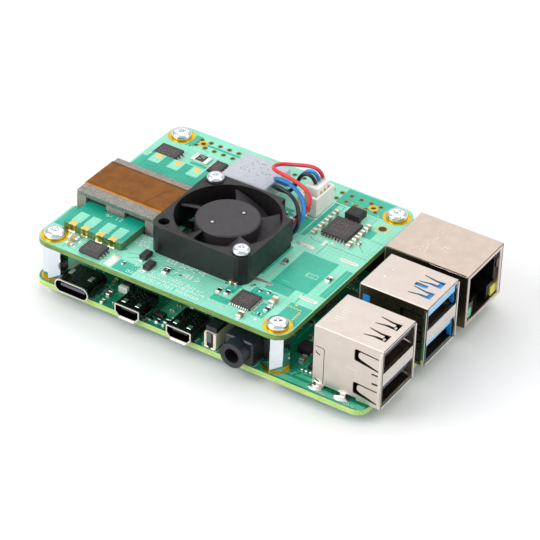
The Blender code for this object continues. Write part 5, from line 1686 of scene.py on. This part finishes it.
def power_input():
    """Bright rolled rim, ground tabs and contact strips of the power socket."""
    low, high = node_box("usb_c_shell")
    x0, y0, z0 = low
    x1, y1, z1 = high
    # The shell is darkened metal: painted reflection.
    soften("usb_c_shell", SHELL_PAINTED_DARK, 0.1, 2)
    soften("usb_c_tongue", SLATE_PLASTIC, 0.07, 1)
    middle_x, middle_z = (x0 + x1) / 2, (z0 + z1) / 2
    half = (z1 - z0) / 2
    outer = rounded(x0 - 0.03, z0 - 0.02, x1 + 0.03, z1 + 0.03, half - 0.02, 8)
    inner = rounded(x0 + 0.24, z0 + 0.24, x1 - 0.24, z1 - 0.24, half - 0.3, 8)
    rim = Solids()
    add_sheet(rim, outer, [inner], 0.3, lambda u, v, d: (u, y0 - 0.04 + d, v), NICKEL_BRIGHT)
    for x in (x0 - 0.3, x1 - 0.3):
        for y in (y0 + 2.4, y1 - 1.7):
            rim.block((x, y, 0), (x + 0.6, y + 1.1, 0.45), SOLDER, 0.15)
    for i in range(8):
        x = middle_x + (i - 3.5) * 0.62
        rim.block((x - 0.16, y0 + 0.9, middle_z + 0.33), (x + 0.16, y0 + 3.4, middle_z + 0.4), BRASS)
    for x in (middle_x - 2.6, middle_x + 2.6):
        rim.block((x - 0.5, y0 + 3.2, z1 - 0.05), (x + 0.5, y0 + 4.9, z1 + 0.05), NICKEL_DULL, 0.03)
    rim.piece("usb_c_shell.rim", slot="nickel")


def audio_socket():
    soften("audio_jack", JACK_PLASTIC, 0.18, 2)
    low, high = node_box("audio_jack")
    x, z = 54.0, 3.05
    extra = Solids()

    def collar(radius_in, radius_out, y0, y1, material):
        profile = ((radius_in, y0), (radius_out, y0), (radius_out, y1), (radius_in, y1))
        extra.hoop([[(u, y, v) for u, v in circle(x, z, radius, 32)] for radius, y in profile], material,
                   True)

    # A near-black collar inside the bore is painted shade.
    collar(1.5, 1.72, low[1] + 2.6, low[1] + 4.4, OPENING_SHADE)
    collar(1.4, 1.6, low[1] + 5.0, low[1] + 5.4, BRASS)
    extra.block((low[0] - 0.02, 6.0, 1.2), (low[0] + 0.1, 7.6, 3.6), NICKEL_DULL, 0.03)
    for y in (2.4, 6.4, 10.2):
        for edge in (low[0] - 0.6, high[0] - 0.2):
            extra.block((edge, y, 0), (edge + 0.8, y + 0.9, 0.3), TIN, 0.08)
    extra.skin([[(x - 0.3, low[1] + 3.2, z - 1.62), (x + 0.3, low[1] + 3.2, z - 1.62),
                 (x + 0.3, low[1] + 5.4, z - 1.2), (x - 0.3, low[1] + 5.4, z - 1.2)],
                [(x - 0.3, low[1] + 3.2, z - 1.3), (x + 0.3, low[1] + 3.2, z - 1.3),
                 (x + 0.3, low[1] + 5.4, z - 0.9), (x - 0.3, low[1] + 5.4, z - 0.9)]], BRASS)
    extra.piece("audio_jack.contacts", slot="nickel")


def ribbon_sockets():
    for kind in ("camera", "display"):
        soften(f"{kind}_connector", CREAM, 0.1, 2)
        soften(f"{kind}_latch", JACK_PLASTIC, 0.08, 2, body=f"{kind}_catch")
        low, high = node_box(f"{kind}_connector")
        middle = (low[0] + high[0]) / 2
        fingers = Solids()
        for i in range(15):
            y = low[1] + 2.8 + i * (high[1] - low[1] - 5.6) / 14
            fingers.block((high[0] - 0.06, y - 0.14, 0), (high[0] + 0.55, y + 0.14, 0.22), TIN, 0.04)
        for x, y in ((low[0] + 0.35, low[1] - 0.18), (high[0] - 0.75, low[1] - 0.3),
                     (low[0] + 0.35, high[1] - 0.1), (high[0] - 0.75, high[1] - 0.1)):
            fingers.block((x - 0.3, y, 0), (x + 0.7, y + 0.4, 0.3), TIN, 0.08)
        fingers.piece(f"{kind}_connector.fingers", slot="nickel")
        posts = Solids()
        for y in (low[1] - 0.05, high[1] - 1.15):
            for x, width, top in ((low[0] - 0.12, 0.67, high[2] - 0.35),
                                  (high[0] - 0.6, 0.72, high[2] - 0.1)):
                posts.block((x, y, 0.02), (x + width, y + 1.2, top), CREAM, 0.08)
        # A near-black strip across the front stands for the opening: painted shade.
        posts.block((low[0] + 0.4, low[1] - 0.03, 0.1), (high[0] - 0.5, low[1] + 0.1, high[2] - 0.1),
                    OPENING_SHADE)
        posts.block((middle - 0.85, low[1] - 0.18, 1.5), (middle + 0.35, low[1] + 0.1, high[2] + 0.02),
                    SLATE_PLASTIC, 0.06)
        posts.piece(f"{kind}_connector.posts", slot="cream_plastic")


usb_shell("usb2_shell", False)
usb_shell("usb3_shell", True)
network_shell()
video_socket("left", 26.0)
video_socket("right", 39.5)
power_input()
audio_socket()
ribbon_sockets()


# ---------------------------------------------------------------- lower board

# The same for the lower board, whose top face is at zero.
L_SINK, L_BARE, L_INK, L_PAD = -0.02, 0.014, 0.034, 0.05


def make_lower_copper():
    """Copper under the lower board's mask, the plated hole rings and the solder at the sockets' tabs."""
    pour = Solids()
    for x0, y0, x1, y1 in ((62.0, 0.5, 84.3, 2.1), (65.0, 3.0, 71.0, 4.0),
                           (71.0, 16.4, 84.5, 19.6), (71.0, 34.4, 84.5, 37.0), (62.5, 12.0, 70.4, 20.0),
                           (17.0, 10.0, 22.0, 22.0), (30.0, 5.0, 35.0, 20.0)):
        pour.prism(rectangle(x0, y0, x1, y1), L_SINK, L_BARE, MASK_LOW_POUR)
    for route in (((58.0, 1.0), (60.4, 3.2), (60.4, 9.0), (63.0, 11.6)),
                  ((64.2, 2.6), (66.8, 5.2), (66.8, 8.0)),
                  ((65.6, 2.6), (68.2, 5.0)), ((42.9, 1.0), (44.2, 3.6)), ((16.6, 1.2), (19.4, 6.2)),
                  ((31.0, 0.9), (31.8, 3.8), (33.4, 5.4)), ((17.6, 8.4), (22.8, 13.6), (22.8, 22.0)),
                  ((60.0, 14.0), (60.0, 22.0), (62.0, 24.0)), ((64.0, 14.0), (64.0, 24.0), (60.4, 27.6)),
                  ((36.0, 33.0), (39.0, 33.0)), ((36.0, 30.0), (38.4, 30.0)), ((36.0, 35.0), (38.4, 35.0))):
        pour.line(route, 0.24, L_SINK, L_BARE, MASK_LOW_POUR)
    pour.piece("lower_mask_copper", slot="mask_green")

    rings = Solids()
    for x, y in HOLES:
        rings.ring(x, y, 1.4, 3.15, L_SINK, L_PAD, GOLD_RING, 48)
        rings.ring(x, y, 1.4, 3.15, -BOARD_THICK - 0.05, -BOARD_THICK + 0.02, GOLD_RING, 48)
    rings.piece("lower_hole_rings", slot="brass")

    blobs = Solids()
    for x, y, rx, ry in ((72.3, 1.75, 1.8, 1.05), (78.6, 1.75, 2.0, 1.05), (72.3, 16.2, 1.4, 0.8),
                         (78.6, 16.2, 1.4, 0.8), (72.3, 19.9, 1.4, 0.8), (78.6, 19.9, 1.4, 0.8),
                         (72.3, 34.1, 1.4, 0.8), (78.6, 34.1, 1.4, 0.8), (79.0, 37.2, 1.4, 0.7),
                         (79.0, 54.3, 1.4, 0.7)):
        blobs.dome(x, y, 1.0, -0.01, 0.5, SOLDER, 20, 5, stretch=(rx, ry))
    for x, y in ((15.5, 9.8), (59.6, 10.6), (66.9, 12.4), (42.3, 8.6)):
        blobs.dome(x, y, 0.45, -0.01, 0.3, SOLDER, 14, 4)
    blobs.piece("lower_solder", slot="nickel")


def make_lower_legend():
    """Printed ink on the lower board."""
    ink = Solids()
    marks(ink, 73.2, 0.55, 2.0, 0.6, 0.1, L_INK, SILK, 81)
    marks(ink, 79.4, 0.45, 3.2, 0.85, 0.16, L_INK, SILK, 82)
    marks(ink, 15.6, 1.2, 2.6, 0.7, 0.13, L_INK, SILK, 83, 62)
    marks(ink, 16.6, 4.2, 2.2, 0.7, 0.13, L_INK, SILK, 84, 62)
    ink.line(((44.2, 0.9), (44.2, 3.4)), 0.16, L_SINK, L_INK, SILK)
    ink.line(((48.9, 0.9), (48.9, 3.0)), 0.16, L_SINK, L_INK, SILK)
    for x0, y0, x1, y1 in ((44.6, 0.3, 48.4, 22.8), (50.2, 0.4, 57.9, 12.6), (6.2, 0.5, 16.2, 6.6),
                           (28.6, 1.4, 34.4, 4.9), (21.0, 24.0, 37.6, 41.0)):
        outline = rectangle(x0, y0, x1, y1)
        ink.line((*outline, outline[0]), 0.13, L_SINK, L_INK - 0.004, SILK_SOFT)
    marks(ink, 58.4, 36.0, 6.0, 1.0, 0.16, L_INK, SILK, 85)
    marks(ink, 20.0, 20.5, 9.0, 1.0, 0.16, L_INK, SILK, 86)
    marks(ink, 50.4, 17.4, 9.0, 0.9, 0.14, L_INK, SILK, 87)
    ink.piece("lower_legend", slot="mask_green")


def make_lower_blocks():
    """The larger parts between the boards, with their solder tabs."""
    bodies = Solids()
    bodies.block((18.5, 7.0, 0.1), (21.0, 9.2, 1.7), PACKAGE_DARK, 0.2)
    bodies.block((18.55, 6.1, 0), (20.95, 7.2, 1.5), WHITE, 0.15)
    bodies.block((62.4, 10.0, 0.1), (65.4, 13.4, 1.5), PACKAGE_DARK, 0.2)
    bodies.block((66.6, 9.9, 0.1), (69.4, 12.9, 1.2), PACKAGE_DARK, 0.12)
    bodies.block((67.6, 6.4, 0.1), (70.4, 8.6, 1.1), PACKAGE_DARK, 0.14)
    bodies.block((57.6, 4.6, 0.1), (59.0, 8.6, 2.6), BONE, 0.12)
    bodies.block((30.2, 3.0, 0.1), (32.6, 4.6, 1.0), PACKAGE_DARK, 0.12)
    bodies.block((20.6, 12.0, 0.1), (26.0, 17.4, 1.6), PACKAGE, 0.15)
    bodies.block((50.0, 38.6, 0.1), (55.4, 44.0, 1.0), PACKAGE, 0.1)
    bodies.block((28.0, 12.0, 0.1), (31.0, 15.0, 1.4), CHOKE, 0.2)
    bodies.block((61.0, 30.0, 0.1), (66.0, 34.6, 1.2), PACKAGE, 0.12)
    bodies.block((62.6, 22.0, 0.1), (65.2, 26.0, 1.5), STEEL, 0.3)
    for i in range(3):
        bodies.block((66.6 + 1.05 * i, 5.0, 0), (67.2 + 1.05 * i, 5.8, 0.45), TIN, 0.08)
        bodies.block((67.8 + 0.9 * i, 8.5, 0), (68.2 + 0.9 * i, 9.2, 0.3), TIN, 0.05)
    for x, y in ((62.0, 11.2), (62.0, 12.6), (65.7, 10.8), (65.7, 12.2)):
        bodies.block((x - 0.3, y - 0.25, 0), (x + 0.3, y + 0.25, 0.35), TIN, 0.06)
    bodies.piece("lower_blocks", slot="package_black")


# Clear distance between a scattered part and anything larger.
ROOM = 1.0


def make_lower_small_parts(pick):
    """Small parts scattered where the lower board is free, and a few set along its front edge."""
    free = ((17.0, 0.9, 21.6, 5.2), (30.2, 0.9, 35.2, 8.2), (61.0, 7.4, 69.8, 19.6),
            (14.0, 8.0, 44.0, 21.0), (48.8, 13.6, 60.0, 22.0), (38.6, 24.0, 50.6, 24.6),
            (49.2, 24.0, 51.0, 46.0), (60.8, 20.0, 62.2, 40.0), (66.5, 20.4, 69.8, 37.0),
            (56.0, 36.8, 59.6, 44.0), (20.0, 42.0, 48.0, 48.4), (6.2, 10.2, 13.6, 20.0),
            (7.0, 25.0, 20.4, 36.0), (62.2, 44.8, 66.0, 48.4))
    blocked = [node_box(node) for node in (
        "processor", "memory_chip", "wireless_shield", "usb_controller", "camera_connector",
        "display_connector", "audio_jack", "usb_c_shell", "video_shell_left", "video_shell_right",
        "pin_header", "power_header", "network_shell", "usb2_shell", "usb3_shell")]
    blocked += [((18.0, 5.5, 0), (21.5, 9.8, 0)), ((62, 9.5, 0), (70.8, 13.8, 0)),
                ((66, 4.6, 0), (70.8, 9.0, 0)), ((20, 11.5, 0), (26.6, 18, 0)),
                ((49.5, 38, 0), (56, 44.6, 0)), ((27.5, 11.5, 0), (31.5, 15.5, 0)),
                ((60.5, 29.5, 0), (66.5, 35, 0)), ((62.2, 21.6, 0), (65.6, 26.4, 0))]
    blocked += [((x - 3.4, y - 3.4, 0), (x + 3.4, y + 3.4, 0)) for x, y in HOLES]
    placed = []
    for x0, y0, x1, y1 in free:
        for _ in range(int((x1 - x0) * (y1 - y0) / 5) + 1):
            x, y = x0 + (x1 - x0) * pick.random(), y0 + (y1 - y0) * pick.random()
            scale = pick.choice((0.5, 0.62, 0.8))
            turn = pick.choice((0, 90))
            kind = pick.random()
            if any(low[0] - ROOM < x < high[0] + ROOM and low[1] - ROOM < y < high[1] + ROOM
                   for low, high in blocked):
                continue
            if any(abs(x - a) < 2.0 and abs(y - b) < 1.7 for a, b, _, _, _ in placed):
                continue
            placed.append((x, y, scale, turn, kind))
    caps, brown, resistors = [], [], []
    for x, y, scale, turn, kind in placed:
        chosen = caps if kind < 0.35 else brown if kind < 0.6 else resistors
        chosen.append((x, y, 0, turn, (scale, scale * 1.1, scale)))
    brown.append((65.2, 8.3, 0, 90, (0.95, 1.1, 1.1)))
    resistors += [(30.2, 2.0, 0, 90, (0.7, 0.75, 0.8)), (32.0, 2.0, 0, 90, (0.7, 0.75, 0.8)),
                  (33.7, 2.9, 0, 90, (0.7, 0.75, 0.8))]
    small_parts("lower", caps, brown, resistors)


def make_underside(pick):
    """Capacitors, solder joints and printed marks under the lower board."""
    under = []
    for _ in range(120):
        x, y = 15 + pick.random() * 54, 6 + pick.random() * 42
        if any(abs(x - a) < 2.0 and abs(y - b) < 1.7 for a, b, _, _, _ in under):
            continue
        under.append((x, y, pick.choice((0.5, 0.62)), pick.choice((0, 90)), pick.random()))
    spots = [(x, y, -BOARD_THICK, turn, (scale, scale, scale)) for x, y, scale, turn, _ in under]
    upside = Solids()
    upside.block((-0.55, -0.5, -0.8), (0.55, 0.5, 0.02), None, 0.06, 0.06)
    repeated("underside_capacitors", upside, spots, CAP_BROWN, slot="brass")
    tips = Solids()
    for side in (-1, 1):
        tips.block((side * 0.78 - 0.26, -0.54, -0.84), (side * 0.78 + 0.26, 0.54, 0.02), None, 0.06, 0.06)
    repeated("underside_capacitor_ends", tips, spots, TIN, slot="nickel")
    joints = Solids()
    joints.dome(0, 0, 0.72, 0.02, -0.72, None, 12, 4)
    spots = [(x, y, -BOARD_THICK, 0, (1, 1, 1)) for x in HEADER_X for y in HEADER_Y]
    for x0, step, count, rows in ((73.0, 2.4, 4, (5.0, 13.0)), (73.0, 2.4, 4, (23.0, 31.0)),
                                  (72.0, 1.9, 5, (41.5, 50.0))):
        spots += [(x0 + step * i, y, -BOARD_THICK, 0, (1, 1, 1)) for i in range(count) for y in rows]
    repeated("underside_joints", joints, spots, SOLDER, slot="nickel")
    ink = Solids()
    for i, (x, y, length) in enumerate(((20, 12, 22), (20, 15, 14), (34, 40, 18), (8, 47.5, 10),
                                        (62, 18, 8))):
        marks(ink, x, y, length, 1.3, 0.2, -BOARD_THICK - 0.03, SILK, 90 + i)
    ink.piece("underside_legend", slot="mask_green")


make_lower_copper()
make_lower_legend()
make_lower_blocks()
PART_PLACES = random.Random(21)
make_lower_small_parts(PART_PLACES)
make_underside(PART_PLACES)


def make_header_ribs():
    """The shallow rib beside each contact on the long faces of the header and of the socket on it."""
    for node in ("pin_header", "header_socket"):
        low, high = node_box(node)
        height = high[2] - low[2]
        spots = [(x, y, low[2] + 0.12 * height, 0, (1, 1, 0.76 * height))
                 for x in HEADER_X for y in (low[1], high[1])]
        repeated(f"{node}_ribs", unit_block(0, 0, 1.1, 0.16), spots, DARK_PLASTIC, slot="black_plastic")


make_header_ribs()


# ---------------------------------------------------------------- finishes for the other nodes

# The lower board's mask carries painted shade in its darker green.
dress("main_board", MASK_LOWER_SHADED)
dress("top_board", MASK_MINT)
dress("transformer_winding", MASK_COIL)
for shield in ("processor", "wireless_shield", "card_socket"):
    dress(shield, NICKEL_DULL)
for package in ("memory_chip", "usb_controller"):
    dress(package, PACKAGE)
for connector in ("pin_header", "power_header", "header_socket", "power_socket"):
    dress(connector, DARK_PLASTIC)


# ---------------------------------------------------------------- floor and light

def make_stage():
    floor_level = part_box("bottom_screw_front_left")[0][2] - 0.0001
    bpy.ops.mesh.primitive_plane_add(size=6, location=(0, 0, floor_level))
    floor = bpy.context.object
    floor.name = "floor"
    pale = Finish("pale_floor", gloss=0.1)
    cloud = pale.noise(120, detail=2)
    pale.colour(pale.ramp(cloud, (0.3, grey(0.95)), (0.7, grey(0.97))))
    pale.shader.inputs["Roughness"].default_value = 0.9
    floor.data.materials.append(pale.material)

    world = bpy.data.worlds.new("studio")
    world.use_nodes = True
    shade_node = world.node_tree.nodes["Background"]
    shade_node.inputs["Color"].default_value = (0.96, 0.98, 1.0, 1)
    shade_node.inputs["Strength"].default_value = 0.62
    bpy.context.scene.world = world

    def lamp(name, size, power, azimuth, elevation, distance, tint=(1, 1, 1)):
        data = bpy.data.lights.new(name, "AREA")
        data.shape = "RECTANGLE"
        data.size, data.size_y = size
        data.energy = power
        data.color = tint
        made = bpy.data.objects.new(name, data)
        bpy.context.scene.collection.objects.link(made)
        a, e = math.radians(azimuth), math.radians(elevation)
        back = Vector((math.sin(a) * math.cos(e), -math.cos(a) * math.cos(e), math.sin(e)))
        made.location = back * distance
        made.rotation_mode = "QUATERNION"
        made.rotation_quaternion = back.to_track_quat("Z", "Y")

    lamp("softbox_top", (0.5, 0.5), 0.8, 190, 75, 0.6)
    lamp("softbox_back", (0.8, 0.5), 0.8, 212, 40, 0.8, (1, 0.98, 0.96))
    lamp("softbox_left", (0.4, 0.5), 2.15, -40, 30, 0.6)
    lamp("softbox_right", (0.3, 0.5), 0.8, 110, 30, 0.6, (1, 0.98, 0.95))


make_stage()
bpy.context.scene.view_settings.view_transform = "Standard"
